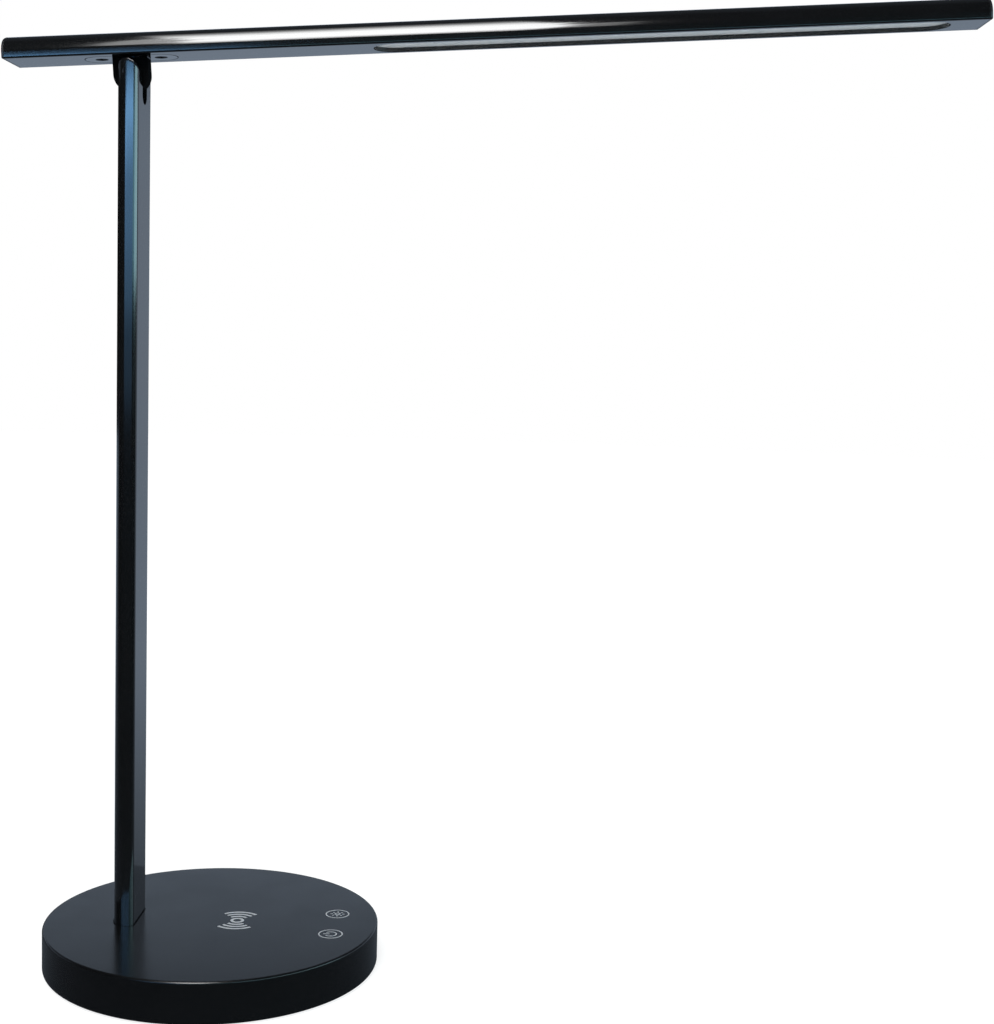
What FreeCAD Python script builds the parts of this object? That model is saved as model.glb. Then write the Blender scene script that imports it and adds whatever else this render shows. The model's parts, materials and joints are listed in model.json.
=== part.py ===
import FreeCAD, Part
import math
import os

# LED desk lamp: a round weighted base with a charging spot, an upright post and a tilting light arm.
# Origin on the table under the middle of the base, +Z up, the arm reaches along +X. Millimetres, degrees.

# Clearances and cuts
overrun = 4.0
slip = 0.15
turning_gap = 0.05

# Base housing
base_diameter = 150.0
base_top = 19.3
cover_wall = 2.5
cover_roof = 2.5
cover_top_round = 1.0
cover_foot_round = 1.6
foot_pad_margin = 9.0
foot_pad_thickness = 1.6
foot_pad_proud = 0.6
plate_thickness = 3.0
weight_thickness = 6.0
weight_gap = 2.0

# Screws of the base and the bosses that they enter
boss_count = 4
boss_inset = 14.0
boss_shoulder_diameter = 11.0
boss_stem_diameter = 7.0
base_screw_diameter = 2.6
base_screw_grip = 8.0
base_screw_head_diameter = 5.4
base_screw_head_height = 1.1
base_screw_seat = 0.9

# Charging coil
charger_x = 11.3
coil_outer_diameter = 43.0
coil_inner_diameter = 20.5
coil_thickness = 1.4
ferrite_diameter = 50.0
ferrite_thickness = 0.8
fence_wall = 1.2
coil_lead_spacing = 6.0

# Circuit boards and touch keys
board_thickness = 1.6
board_standoff = 1.0
spacer_diameter = 5.0
spacer_inset = 4.0
main_board_x = 1.0
main_board_length = 54.0
main_board_width = 22.0
main_board_fence_gap = 1.15
touch_edge_distance = 19.5
touch_key_spacing = 26.2
touch_board_length = 40.0
touch_board_width = 11.0
electrode_diameter = 9.0
coil_socket_length = 9.0
coil_socket_width = 4.0
# Each part on the main board: middle along and across it, length, width, height in the room above
board_part_shares = (
    (0.13, 0.66, 0.14, 0.36, 0.80),
    (0.34, 0.70, 0.11, 0.28, 0.30),
    (0.52, 0.72, 0.09, 0.24, 0.72),
    (0.66, 0.72, 0.09, 0.24, 0.72),
    (0.86, 0.66, 0.14, 0.36, 0.40),
)

# Power socket
socket_length = 14.0
socket_width = 9.0
socket_height = 10.5
socket_nose_diameter = 8.0
socket_nose_recess = 0.4
socket_bore_diameter = 5.7
socket_bore_length = 3.0
socket_cavity_diameter = 6.6
socket_cavity_length = 6.5
contact_diameter = 2.1
contact_recess = 0.4
contact_root = 2.0
socket_notch_gap = 1.5

# Wires inside the lamp
lead_diameter = 1.4
lead_room = 0.5
lead_bend = 5.0
socket_lead_run = 6.5
post_lead_gap = 3.0
side_lead_inset = 3.0
touch_lead_inset = 6.0
lamp_lead_inset = 18.0

# Extruded profiles of the post and the arm: a flat face, rounded shoulders and a crowned back
profile_width = 25.2
profile_wall = 2.0
profile_shoulder_round = 5.2
profile_crown_rise = 1.2
profile_inner_round = 0.6

# Post
post_edge_distance = 36.2
post_thickness = 10.7
post_edge_round = 2.0
foot_block_height = 22.0
post_screw_spacing = 13.0
post_screw_diameter = 4.0
post_screw_grip = 12.0
post_screw_head_diameter = 7.0
post_screw_head_height = 2.4
post_screw_hole_gap = 0.3
lead_window_height = 6.0

# Hinge between post and arm
pivot_height = 394.8
hinge_drop = 7.0
fork_slot_width = 8.0
fork_slot_depth = 12.5
hinge_block_depth = 26.0
pin_diameter = 3.0
pin_recess = 0.4
washer_diameter = 10.2
washer_thickness = 0.6
tongue_radius = 7.6
knuckle_length = 40.0
knuckle_width = 15.0
knuckle_screw_spacing = 25.7
knuckle_screw_diameter = 3.0
knuckle_screw_head_diameter = 5.6
knuckle_screw_tip_gap = 0.3

# Light arm, along its own X from the hinge pin
arm_tilt = 3.6
arm_thickness = 10.7
arm_edge_round = 1.2
arm_tail = 51.7
arm_reach = 365.3
arm_insert_length = 52.0
cap_thickness = 1.2
cap_round = 0.5
cap_plug_length = 7.0
cap_plug_wall = 1.5
window_start = 105.0
diffuser_cap_gap = 0.8
window_width = 20.0
diffuser_thickness = 1.5
diffuser_lap = 6.0
led_board_width = 12.0
led_board_thickness = 1.0
led_length = 3.5
led_width = 2.8
led_height = 0.7
led_pitch = 8.0
arm_lead_lap = 3.0

# Levels and places that follow from the sizes
base_radius = base_diameter / 2
cover_inner_radius = base_radius - cover_wall
plate_top = foot_pad_proud + plate_thickness
weight_top = plate_top + weight_thickness
roof = base_top - cover_roof
pad_recess_top = foot_pad_thickness
screw_seat = plate_top - base_screw_seat
board_bottom = weight_top + board_standoff
board_top = board_bottom + board_thickness
board_room = roof - board_top
lead_level = board_bottom + board_thickness / 2
ferrite_top = roof - coil_thickness
ferrite_bottom = ferrite_top - ferrite_thickness
touch_x = base_radius - touch_edge_distance
fence_inner_radius = ferrite_diameter / 2 + slip
fence_outer_radius = fence_inner_radius + fence_wall
main_board_inner_y = fence_outer_radius + main_board_fence_gap
main_board_outer_y = main_board_inner_y + main_board_width
main_board_start_x = main_board_x - main_board_length / 2
main_board_end_x = main_board_x + main_board_length / 2
socket_level = plate_top + socket_height / 2
socket_front_x = slip - math.sqrt(cover_inner_radius ** 2 - (socket_width / 2) ** 2)
socket_mouth_x = socket_nose_recess - base_radius
socket_rear_x = socket_front_x + socket_length
post_x = post_edge_distance - base_radius
post_flat_x = post_x + post_thickness / 2
lead_offset = post_thickness / 2 - profile_wall - lead_diameter / 2 - slip
tongue_thickness = fork_slot_width - 2 * (washer_thickness + turning_gap)
profile_run = profile_width / 2 - profile_shoulder_round
crown_angle = math.pi / 2 - 2 * math.atan(profile_crown_rise / profile_run)
window_end = arm_reach - cap_plug_length - diffuser_cap_gap - diffuser_lap
window_length = window_end - window_start


def point(x, y, z):
    return FreeCAD.Vector(x, y, z)


def box(x0, x1, y0, y1, z0, z1):
    return Part.makeBox(x1 - x0, y1 - y0, z1 - z0, point(x0, y0, z0))


def upright(radius, z0, z1, x=0, y=0):
    """Cylinder that stands along Z from z0 to z1."""
    return Part.makeCylinder(radius, z1 - z0, point(x, y, z0))


def crosswise(radius, y0, y1, x, z):
    """Cylinder that lies along Y from y0 to y1."""
    return Part.makeCylinder(radius, y1 - y0, point(x, y0, z), point(0, 1, 0))


def lengthwise(radius, x0, x1, y, z):
    """Cylinder that lies along X from x0 to x1."""
    return Part.makeCylinder(radius, x1 - x0, point(x0, y, z), point(1, 0, 0))


def arc(start, middle, end):
    return Part.Arc(start, middle, end).toShape()


def obround(x_middle, length, width, z0, z1):
    """Upright prism with half-round ends, its length along X."""
    half = (length - width) / 2
    side = width / 2
    left, right = x_middle - half, x_middle + half
    outline = Part.Wire([
        Part.makeLine(point(left, -side, z0), point(right, -side, z0)),
        arc(point(right, -side, z0), point(right + side, 0, z0), point(right, side, z0)),
        Part.makeLine(point(right, side, z0), point(left, side, z0)),
        arc(point(left, side, z0), point(left - side, 0, z0), point(left, -side, z0)),
    ])
    return Part.Face(outline).extrude(point(0, 0, z1 - z0))


def profile_face(thickness, edge_round, inset, place):
    """D-shaped section, drawn inset inside the outer one; place turns (across, height) into a point."""
    half = profile_width / 2 - inset
    corner = max(edge_round - inset, profile_inner_round)
    shoulder = profile_shoulder_round - inset
    side_top = thickness - profile_shoulder_round - profile_crown_rise

    def turned(side, across, height, radius, angle):
        return place(side * (across + radius * math.cos(angle)), height + radius * math.sin(angle))

    def flank(side):
        corner_place = (side, half - corner, inset + corner, corner)
        shoulder_place = (side, profile_run, side_top, shoulder)
        foot = turned(*corner_place, -math.pi / 2)
        low = turned(*corner_place, 0)
        high = turned(*shoulder_place, 0)
        crest = turned(*shoulder_place, crown_angle)
        edges = [
            arc(foot, turned(*corner_place, -math.pi / 4), low),
            Part.makeLine(low, high),
            arc(high, turned(*shoulder_place, crown_angle / 2), crest),
        ]
        return foot, crest, edges

    right_foot, right_crest, right_edges = flank(1)
    left_foot, left_crest, left_edges = flank(-1)
    flat = Part.makeLine(left_foot, right_foot)
    crown = arc(right_crest, place(0, thickness - inset), left_crest)
    ordered = Part.__sortEdges__([flat, crown] + right_edges + left_edges)
    return Part.Face(Part.Wire(ordered))


def post_prism(inset, z0, z1):
    """Stretch of the post's section, its flat face towards +X."""
    face = profile_face(post_thickness, post_edge_round, inset, lambda a, h: point(post_flat_x - h, a, z0))
    return face.extrude(point(0, 0, z1 - z0))


def arm_prism(inset, x0, x1):
    """Stretch of the arm's section in the arm's own frame, its flat face down."""
    face = profile_face(arm_thickness, arm_edge_round, inset, lambda a, h: point(x0, a, hinge_drop + h))
    return face.extrude(point(x1 - x0, 0, 0))


def arm_ceiling(across):
    """Height of the arm's inner crown above its flat face, at a distance from the middle."""
    crown_radius = profile_shoulder_round + profile_run / math.cos(crown_angle)
    inner_radius = crown_radius - profile_wall
    return arm_thickness - crown_radius + math.sqrt(inner_radius ** 2 - across ** 2)


def tilted(shape):
    """Arm piece turned to its tilt and set on the hinge pin."""
    moved = shape.copy()
    moved.rotate(point(0, 0, 0), point(0, 1, 0), -arm_tilt)
    moved.translate(point(post_x, 0, pivot_height))
    return moved


def lead(corners, diameter):
    """Round wire along straight runs that are joined by tangent arcs."""
    edges = []
    start = corners[0]
    for before, corner, after in zip(corners, corners[1:], corners[2:]):
        back = (before - corner).normalize()
        ahead = (after - corner).normalize()
        half_turn = back.getAngle(ahead) / 2
        reach = lead_bend / math.tan(half_turn)
        inward = (back + ahead).normalize()
        middle = corner + inward * (lead_bend / math.sin(half_turn) - lead_bend)
        edges.append(Part.makeLine(start, corner + back * reach))
        edges.append(arc(corner + back * reach, middle, corner + ahead * reach))
        start = corner + ahead * reach
    edges.append(Part.makeLine(start, corners[-1]))
    section = Part.Wire(Part.makeCircle(diameter / 2, corners[0], corners[1] - corners[0]))
    return Part.Wire(edges).makePipeShell([section], True, False)


def boss_places():
    """Axes of the base's screw bosses, midway between X and Y."""
    circle = base_radius - boss_inset
    for index in range(boss_count):
        angle = 2 * math.pi * (index + 1 / 2) / boss_count
        yield circle * math.cos(angle), circle * math.sin(angle)


def post_screw_places():
    return [(post_x, side * post_screw_spacing / 2) for side in (-1, 1)]


def base_cover():
    """Turned shell with bosses, a fence for the coil, the post's opening and the socket's hole."""
    cos45 = math.cos(math.pi / 4)
    foot = foot_pad_proud
    foot_bulge = cover_foot_round * (1 - cos45)
    top_bulge = cover_top_round * (1 - cos45)
    section = Part.Wire([
        Part.makeLine(point(cover_inner_radius, 0, foot), point(base_radius - cover_foot_round, 0, foot)),
        arc(point(base_radius - cover_foot_round, 0, foot),
            point(base_radius - foot_bulge, 0, foot + foot_bulge),
            point(base_radius, 0, foot + cover_foot_round)),
        Part.makeLine(point(base_radius, 0, foot + cover_foot_round),
                      point(base_radius, 0, base_top - cover_top_round)),
        arc(point(base_radius, 0, base_top - cover_top_round),
            point(base_radius - top_bulge, 0, base_top - top_bulge),
            point(base_radius - cover_top_round, 0, base_top)),
        Part.makeLine(point(base_radius - cover_top_round, 0, base_top), point(0, 0, base_top)),
        Part.makeLine(point(0, 0, base_top), point(0, 0, roof)),
        Part.makeLine(point(0, 0, roof), point(cover_inner_radius, 0, roof)),
        Part.makeLine(point(cover_inner_radius, 0, roof), point(cover_inner_radius, 0, foot)),
    ])
    shell = Part.Face(section).revolve(point(0, 0, 0), point(0, 0, 1), 360)
    fence = upright(fence_outer_radius, ferrite_bottom, roof, charger_x)
    fence = fence.cut(upright(fence_inner_radius, ferrite_bottom, roof, charger_x))
    lead_gap = (coil_lead_spacing + coil_thickness) / 2
    fence = fence.cut(box(charger_x - lead_gap, charger_x + lead_gap, 0, base_radius, ferrite_bottom, roof))
    adds = [fence]
    cuts = [
        post_prism(-slip, weight_top, base_top + overrun),
        lengthwise(socket_nose_diameter / 2 + slip, -base_radius - overrun, socket_front_x, 0, socket_level),
    ]
    for x, y in boss_places():
        adds.append(upright(boss_shoulder_diameter / 2, weight_top, roof, x, y))
        adds.append(upright(boss_stem_diameter / 2, plate_top, roof, x, y))
        cuts.append(upright(base_screw_diameter / 2, plate_top, plate_top + base_screw_grip, x, y))
    return shell.fuse(adds).removeSplitter().cut(cuts)


def base_plate():
    plate = upright(cover_inner_radius - slip, foot_pad_proud, plate_top)
    cuts = [upright(base_radius - foot_pad_margin + slip, foot_pad_proud, pad_recess_top)]
    for x, y in boss_places():
        cuts.append(upright(base_screw_diameter / 2 + slip, foot_pad_proud, plate_top, x, y))
        cuts.append(upright(base_screw_head_diameter / 2 + slip, foot_pad_proud, screw_seat, x, y))
    return plate.cut(cuts)


def foot_pad():
    return upright(base_radius - foot_pad_margin, 0, foot_pad_thickness)


def counterweight():
    """Steel disc with holes for the bosses and post screws and a notch for the socket."""
    disc = upright(cover_inner_radius - weight_gap, plate_top, weight_top)
    notch_half = socket_width / 2 + socket_notch_gap
    notch_end = socket_rear_x + socket_notch_gap
    cuts = [box(-base_radius, notch_end, -notch_half, notch_half, plate_top, weight_top)]
    for x, y in boss_places():
        cuts.append(upright(boss_stem_diameter / 2 + slip, plate_top, weight_top, x, y))
    for x, y in post_screw_places():
        cuts.append(upright((post_screw_diameter + post_screw_hole_gap) / 2, plate_top, weight_top, x, y))
        head_radius = (post_screw_head_diameter + post_screw_hole_gap) / 2
        cuts.append(upright(head_radius, plate_top, plate_top + post_screw_head_height + slip, x, y))
    return disc.cut(cuts)


def base_screws():
    screws = []
    for x, y in boss_places():
        head = upright(base_screw_head_diameter / 2, screw_seat - base_screw_head_height, screw_seat, x, y)
        shank = upright(base_screw_diameter / 2, screw_seat, plate_top + base_screw_grip, x, y)
        screws.append(head.fuse(shank))
    return Part.makeCompound(screws)


def post_screws():
    screws = []
    for x, y in post_screw_places():
        seat = plate_top + post_screw_head_height + slip
        head = upright(post_screw_head_diameter / 2, seat - post_screw_head_height, seat, x, y)
        shank = upright(post_screw_diameter / 2, seat, weight_top + post_screw_grip, x, y)
        screws.append(head.fuse(shank))
    return Part.makeCompound(screws)


def charging_coil():
    ring = upright(coil_outer_diameter / 2, ferrite_top, roof, charger_x)
    return ring.cut(upright(coil_inner_diameter / 2, ferrite_top, roof, charger_x))


def coil_ferrite():
    return upright(ferrite_diameter / 2, ferrite_bottom, ferrite_top, charger_x)


def coil_leads():
    """Two straight wires from the coil's rim to their socket on the main board."""
    radius = coil_thickness / 2 - slip
    start = coil_outer_diameter / 2
    level = roof - coil_thickness / 2
    xs = [charger_x + side * coil_lead_spacing / 2 for side in (-1, 1)]
    return Part.makeCompound([crosswise(radius, start, main_board_inner_y, x, level) for x in xs])


def main_board():
    corner = point(main_board_start_x, main_board_inner_y, board_bottom)
    return Part.makeBox(main_board_length, main_board_width, board_thickness, corner)


def board_parts():
    """Blocks that stand on the main board, and the tall socket that the coil's wires enter."""
    blocks = []
    for along, across, length, width, height in board_part_shares:
        x = main_board_start_x + along * main_board_length
        y = main_board_inner_y + across * main_board_width
        half_x = length * main_board_length / 2
        half_y = width * main_board_width / 2
        top = board_top + height * board_room
        blocks.append(box(x - half_x, x + half_x, y - half_y, y + half_y, board_top, top))
    x0 = charger_x - coil_socket_length / 2
    y0 = main_board_inner_y
    blocks.append(box(x0, x0 + coil_socket_length, y0, y0 + coil_socket_width, board_top, roof - slip))
    return Part.makeCompound(blocks)


def touch_board():
    half_x = touch_board_width / 2
    half_y = touch_board_length / 2
    return box(touch_x - half_x, touch_x + half_x, -half_y, half_y, board_bottom, board_top)


def touch_electrodes():
    places = [side * touch_key_spacing / 2 for side in (-1, 1)]
    return Part.makeCompound([upright(electrode_diameter / 2, board_top, roof, touch_x, y) for y in places])


def board_spacers():
    places = [
        (x, y)
        for x in (main_board_start_x + spacer_inset, main_board_end_x - spacer_inset)
        for y in (main_board_inner_y + spacer_inset, main_board_outer_y - spacer_inset)
    ]
    touch_end = touch_board_length / 2 - spacer_inset
    places += [(touch_x, -touch_end), (touch_x, touch_end)]
    radius = spacer_diameter / 2
    return Part.makeCompound([upright(radius, weight_top, board_bottom, x, y) for x, y in places])


def dc_socket():
    """Body on the base plate with a round nose in the skirt, a guide bore and a wider cavity."""
    half = socket_width / 2
    body = box(socket_front_x, socket_rear_x, -half, half, plate_top, plate_top + socket_height)
    nose = lengthwise(socket_nose_diameter / 2, socket_mouth_x, socket_front_x, 0, socket_level)
    bore_end = socket_mouth_x + socket_bore_length
    cavity_end = bore_end + socket_cavity_length
    bore = lengthwise(socket_bore_diameter / 2, socket_mouth_x, bore_end, 0, socket_level)
    cavity = lengthwise(socket_cavity_diameter / 2, bore_end, cavity_end, 0, socket_level)
    root = lengthwise(contact_diameter / 2, cavity_end, cavity_end + contact_root, 0, socket_level)
    return body.fuse(nose).removeSplitter().cut([bore, cavity, root])


def dc_contact():
    bore_end = socket_mouth_x + socket_bore_length
    root_end = bore_end + socket_cavity_length + contact_root
    return lengthwise(contact_diameter / 2, bore_end + contact_recess, root_end, 0, socket_level)


def jack_lead():
    """From the back of the socket round the post to the main board's inner edge."""
    x = socket_rear_x + socket_lead_run
    y = profile_width / 2 + post_lead_gap
    end_x = main_board_start_x + side_lead_inset
    corners = [
        point(socket_rear_x, 0, lead_level),
        point(x, 0, lead_level),
        point(x, y, lead_level),
        point(end_x, y, lead_level),
        point(end_x, main_board_inner_y, lead_level),
    ]
    return lead(corners, lead_diameter)


def touch_lead():
    """From the side of the touch board to the main board's inner edge."""
    y = touch_board_length / 2 - touch_lead_inset
    end_x = main_board_end_x - side_lead_inset
    corners = [
        point(touch_x - touch_board_width / 2, y, lead_level),
        point(end_x, y, lead_level),
        point(end_x, main_board_inner_y, lead_level),
    ]
    return lead(corners, lead_diameter)


def lamp_lead():
    """From the main board into the foot of the post, up behind its flat wall and into the fork."""
    x = main_board_start_x + lamp_lead_inset
    lead_x = post_x + lead_offset
    end = pivot_height - tongue_radius - 2 * slip
    corners = [
        point(x, main_board_inner_y, lead_level),
        point(x, 0, lead_level),
        point(lead_x, 0, lead_level),
        point(lead_x, 0, end),
    ]
    return lead(corners, lead_diameter)


def lead_groove(z0, z1):
    """Groove behind the post's flat wall that the lamp lead runs in."""
    half = lead_diameter / 2 + lead_room
    return box(post_x + lead_offset - half, post_flat_x, -half, half, z0, z1)


def fork_slot():
    """Slot across the post's top with a round bottom, open through front and back."""
    radius = fork_slot_width / 2
    bottom = pivot_height - fork_slot_depth + radius
    x0 = post_flat_x - post_thickness - overrun
    x1 = post_flat_x + overrun
    slot = box(x0, x1, -radius, radius, bottom, pivot_height + post_thickness)
    return slot.fuse(lengthwise(radius, x0, x1, 0, bottom))


def post_top_waste():
    """What is cut away to round the post's top about the hinge pin."""
    side = post_thickness / 2 + overrun
    half = profile_width / 2 + overrun
    waste = box(post_x - side, post_x + side, -half, half, pivot_height, pivot_height + post_thickness)
    return waste.cut(crosswise(post_thickness / 2, -half, half, post_x, pivot_height))


def pin_hole():
    half = profile_width / 2 + overrun
    return crosswise(pin_diameter / 2 + turning_gap, -half, half, post_x, pivot_height)


def post_tube():
    """Hollow extrusion with a forked round top and a window for the lead at its foot."""
    top = pivot_height + post_thickness / 2
    tube = post_prism(0, weight_top, top).cut(post_prism(profile_wall, weight_top, top))
    half = lead_diameter / 2 + lead_room
    window = box(post_x, post_flat_x + overrun, -half, half, weight_top, weight_top + lead_window_height)
    return tube.cut([post_top_waste(), fork_slot(), pin_hole(), window])


def foot_block():
    top = weight_top + foot_block_height
    block = post_prism(profile_wall + slip, weight_top, top)
    cuts = [lead_groove(weight_top, top)]
    for x, y in post_screw_places():
        cuts.append(upright(post_screw_diameter / 2, weight_top, weight_top + post_screw_grip, x, y))
    return block.cut(cuts)


def hinge_block():
    bottom = pivot_height - hinge_block_depth
    top = pivot_height + post_thickness / 2
    block = post_prism(profile_wall + slip, bottom, top)
    return block.cut([post_top_waste(), fork_slot(), pin_hole(), lead_groove(bottom, pivot_height)])


def hinge_pin():
    half = profile_width / 2 - pin_recess
    return crosswise(pin_diameter / 2, -half, half, post_x, pivot_height)


def friction_washers():
    washers = []
    for side in (-1, 1):
        outer = side * fork_slot_width / 2
        y0, y1 = sorted((outer, outer - side * washer_thickness))
        disc = crosswise(washer_diameter / 2, y0, y1, post_x, pivot_height)
        washers.append(disc.cut(crosswise(pin_diameter / 2 + turning_gap, y0, y1, post_x, pivot_height)))
    return Part.makeCompound(washers)


def knuckle_screw_xs():
    return [side * knuckle_screw_spacing / 2 for side in (-1, 1)]


def countersunk_head(x, gap):
    """Cone of a flush screw head in the arm's underside, grown by a gap."""
    head_radius = knuckle_screw_head_diameter / 2 + gap
    shank_radius = knuckle_screw_diameter / 2 + gap
    height = head_radius - shank_radius
    return Part.makeCone(head_radius, shank_radius, height, point(x, 0, hinge_drop))


def hinge_knuckle():
    """Plate flush with the arm's underside, and the round tongue that hangs from it on the pin."""
    plate_back = hinge_drop + profile_wall
    half = tongue_thickness / 2
    plate = obround(0, knuckle_length - 2 * slip, knuckle_width - 2 * slip, hinge_drop, plate_back)
    neck = box(-tongue_radius, tongue_radius, -half, half, 0, plate_back)
    tongue = crosswise(tongue_radius, -half, half, 0, 0)
    body = plate.fuse([neck, tongue]).removeSplitter()
    cuts = [
        crosswise(pin_diameter / 2 + turning_gap, -half, half, 0, 0),
        upright(lead_diameter / 2 + slip, -tongue_radius, plate_back, lead_offset),
    ]
    for x in knuckle_screw_xs():
        cuts.append(countersunk_head(x, turning_gap))
        cuts.append(upright(knuckle_screw_diameter / 2 + turning_gap, hinge_drop, plate_back, x))
    return tilted(body.cut(cuts))


def knuckle_screws():
    screws = []
    for x in knuckle_screw_xs():
        shank = upright(knuckle_screw_diameter / 2, hinge_drop, knuckle_screw_end(), x)
        screws.append(tilted(countersunk_head(x, 0).fuse(shank)))
    return Part.makeCompound(screws)


def led_board_level():
    """Underside of the LED board, which is bonded under the arm's crown."""
    return hinge_drop + arm_ceiling(led_board_width / 2) - slip - led_board_thickness


def led_board_ends():
    return window_start - diffuser_lap, window_end + diffuser_lap


def arm_lead_level():
    return led_board_level() - lead_diameter / 2


def knuckle_screw_end():
    """Tip of the knuckle's screws, just under the groove that the arm's lead runs in."""
    return arm_lead_level() - lead_diameter / 2 - lead_room - knuckle_screw_tip_gap


def arm_insert():
    """Block inside the arm that takes the knuckle's screws, grooved for the lead."""
    half = arm_insert_length / 2
    block = arm_prism(profile_wall + slip, -half, half)
    room = lead_diameter / 2 + lead_room
    top = arm_lead_level() + room
    cuts = [
        box(lead_offset - room, lead_offset + lead_bend, -room, room, hinge_drop, top),
        box(lead_offset, half, -room, room, arm_lead_level() - room, top),
    ]
    for x in knuckle_screw_xs():
        cuts.append(upright(knuckle_screw_diameter / 2 + turning_gap, hinge_drop, knuckle_screw_end(), x))
    return tilted(block.cut(cuts))


def arm_tube():
    """Hollow extrusion, open below for the knuckle's plate and for the light."""
    tube = arm_prism(0, -arm_tail, arm_reach).cut(arm_prism(profile_wall, -arm_tail, arm_reach))
    low = hinge_drop - overrun
    high = hinge_drop + profile_wall
    pocket = obround(0, knuckle_length, knuckle_width, low, high)
    window = obround((window_start + window_end) / 2, window_length, window_width, low, high)
    return tilted(tube.cut([pocket, window]))


def end_cap(face_x, outward):
    """Cap plate with a rounded rim and a hollow plug in the arm's end; outward is 1 or -1 along X."""
    outer_x = face_x + outward * cap_thickness
    plug_x = face_x - outward * cap_plug_length
    plate = arm_prism(0, *sorted((face_x, outer_x)))
    rim = [edge for edge in plate.Edges if edge.BoundBox.XLength < turning_gap
           and abs(edge.BoundBox.Center.x - outer_x) < turning_gap]
    plate = plate.makeFillet(cap_round, rim)
    span = sorted((face_x, plug_x))
    plug = arm_prism(profile_wall + slip, *span).cut(arm_prism(profile_wall + slip + cap_plug_wall, *span))
    return tilted(plate.fuse(plug))


def front_cap():
    return end_cap(arm_reach, 1)


def tail_cap():
    return end_cap(-arm_tail, -1)


def diffuser():
    """Opal strip that lies on the lips of the window."""
    start, end = led_board_ends()
    half = profile_width / 2 - profile_wall - profile_inner_round - slip
    low = hinge_drop + profile_wall
    return tilted(box(start, end, -half, half, low, low + diffuser_thickness))


def led_board():
    start, end = led_board_ends()
    half = led_board_width / 2
    level = led_board_level()
    return tilted(box(start, end, -half, half, level, level + led_board_thickness))


def led_chips():
    """One row of chips over the length of the window."""
    start, end = led_board_ends()
    level = led_board_level()
    count = int((window_length - led_length) / led_pitch) + 1
    first = (start + end - (count - 1) * led_pitch) / 2
    half_x = led_length / 2
    half_y = led_width / 2
    chips = []
    for index in range(count):
        x = first + index * led_pitch
        chips.append(tilted(box(x - half_x, x + half_x, -half_y, half_y, level - led_height, level)))
    return Part.makeCompound(chips)


def arm_lead():
    """From the tongue's rim up through the knuckle and along the arm to the LED board."""
    start, end = led_board_ends()
    outer_side = lead_offset + lead_diameter / 2
    rim_depth = math.sqrt(tongue_radius ** 2 - outer_side ** 2)
    level = arm_lead_level()
    corners = [
        point(lead_offset, 0, -rim_depth),
        point(lead_offset, 0, level),
        point(start + arm_lead_lap, 0, level),
    ]
    return tilted(lead(corners, lead_diameter))


pieces = (
    base_cover, base_plate, foot_pad, counterweight, base_screws, charging_coil, coil_ferrite, coil_leads,
    main_board, board_parts, touch_board, touch_electrodes, board_spacers, dc_socket, dc_contact,
    jack_lead, touch_lead, lamp_lead, post_tube, foot_block, post_screws, hinge_block, hinge_pin,
    friction_washers, arm_tube, hinge_knuckle, knuckle_screws, arm_insert, led_board, led_chips,
    diffuser, front_cap, tail_cap, arm_lead,
)

os.makedirs("parts", exist_ok=True)
for piece in pieces:
    piece().exportStep("parts/" + piece.__name__ + ".step")
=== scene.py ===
"""LED desk lamp with a charging base: dressed shells, caps, screws, key marks and finishes."""
import json
import logging
import math
from dataclasses import dataclass, field, replace
from enum import Enum
from functools import cache

import bmesh
import bpy
import numpy as np
from mathutils import Matrix, Vector
from numpy.typing import NDArray


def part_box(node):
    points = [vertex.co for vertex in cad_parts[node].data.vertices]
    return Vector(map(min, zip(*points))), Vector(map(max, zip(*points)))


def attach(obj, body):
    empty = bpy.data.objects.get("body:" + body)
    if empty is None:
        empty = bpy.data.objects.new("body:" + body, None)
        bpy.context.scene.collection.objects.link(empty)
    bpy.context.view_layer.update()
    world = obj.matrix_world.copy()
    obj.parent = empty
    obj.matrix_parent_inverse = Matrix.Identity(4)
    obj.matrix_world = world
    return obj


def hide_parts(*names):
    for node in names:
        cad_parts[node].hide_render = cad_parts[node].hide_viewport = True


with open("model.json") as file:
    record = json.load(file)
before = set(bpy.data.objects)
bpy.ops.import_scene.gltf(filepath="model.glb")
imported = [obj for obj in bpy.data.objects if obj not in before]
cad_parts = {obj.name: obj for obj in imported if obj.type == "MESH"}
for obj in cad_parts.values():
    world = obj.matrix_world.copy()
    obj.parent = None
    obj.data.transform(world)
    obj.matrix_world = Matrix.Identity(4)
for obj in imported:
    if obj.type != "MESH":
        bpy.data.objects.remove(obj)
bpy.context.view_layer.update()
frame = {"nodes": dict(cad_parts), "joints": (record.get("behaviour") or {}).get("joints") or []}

LOG = logging.getLogger("desk_lamp")
Array = NDArray[np.float64]
Pair = tuple[float, float]
Triple = tuple[float, float, float]
Node = bpy.types.Node
Socket = bpy.types.NodeSocket
QUARTER = math.pi / 2
FULL_TURN = 2 * math.pi
WHOLE: Pair = (0.0, 1.0)
SIDES = (1, -1)
MERGE_DISTANCE = 1e-6
SHARP_ANGLE = math.radians(35)
WALL_STEPS = 2
PLACES = 9
HINGE = frame["joints"][0]
STRAIGHT_DOWN = 90


class Body(Enum):
    """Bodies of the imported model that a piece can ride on."""

    STAND = "stand"
    ARM = "arm"


class Relief(Enum):
    """Kinds of fine relief that a finish can have."""

    DRAWN = "drawn_lines"
    PEBBLED = "pebbled_skin"


# Surfaces


def unit(angle: Array) -> Array:
    """Unit vector for each angle: its cosine and its sine."""
    return np.column_stack([np.cos(angle), np.sin(angle)])


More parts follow.
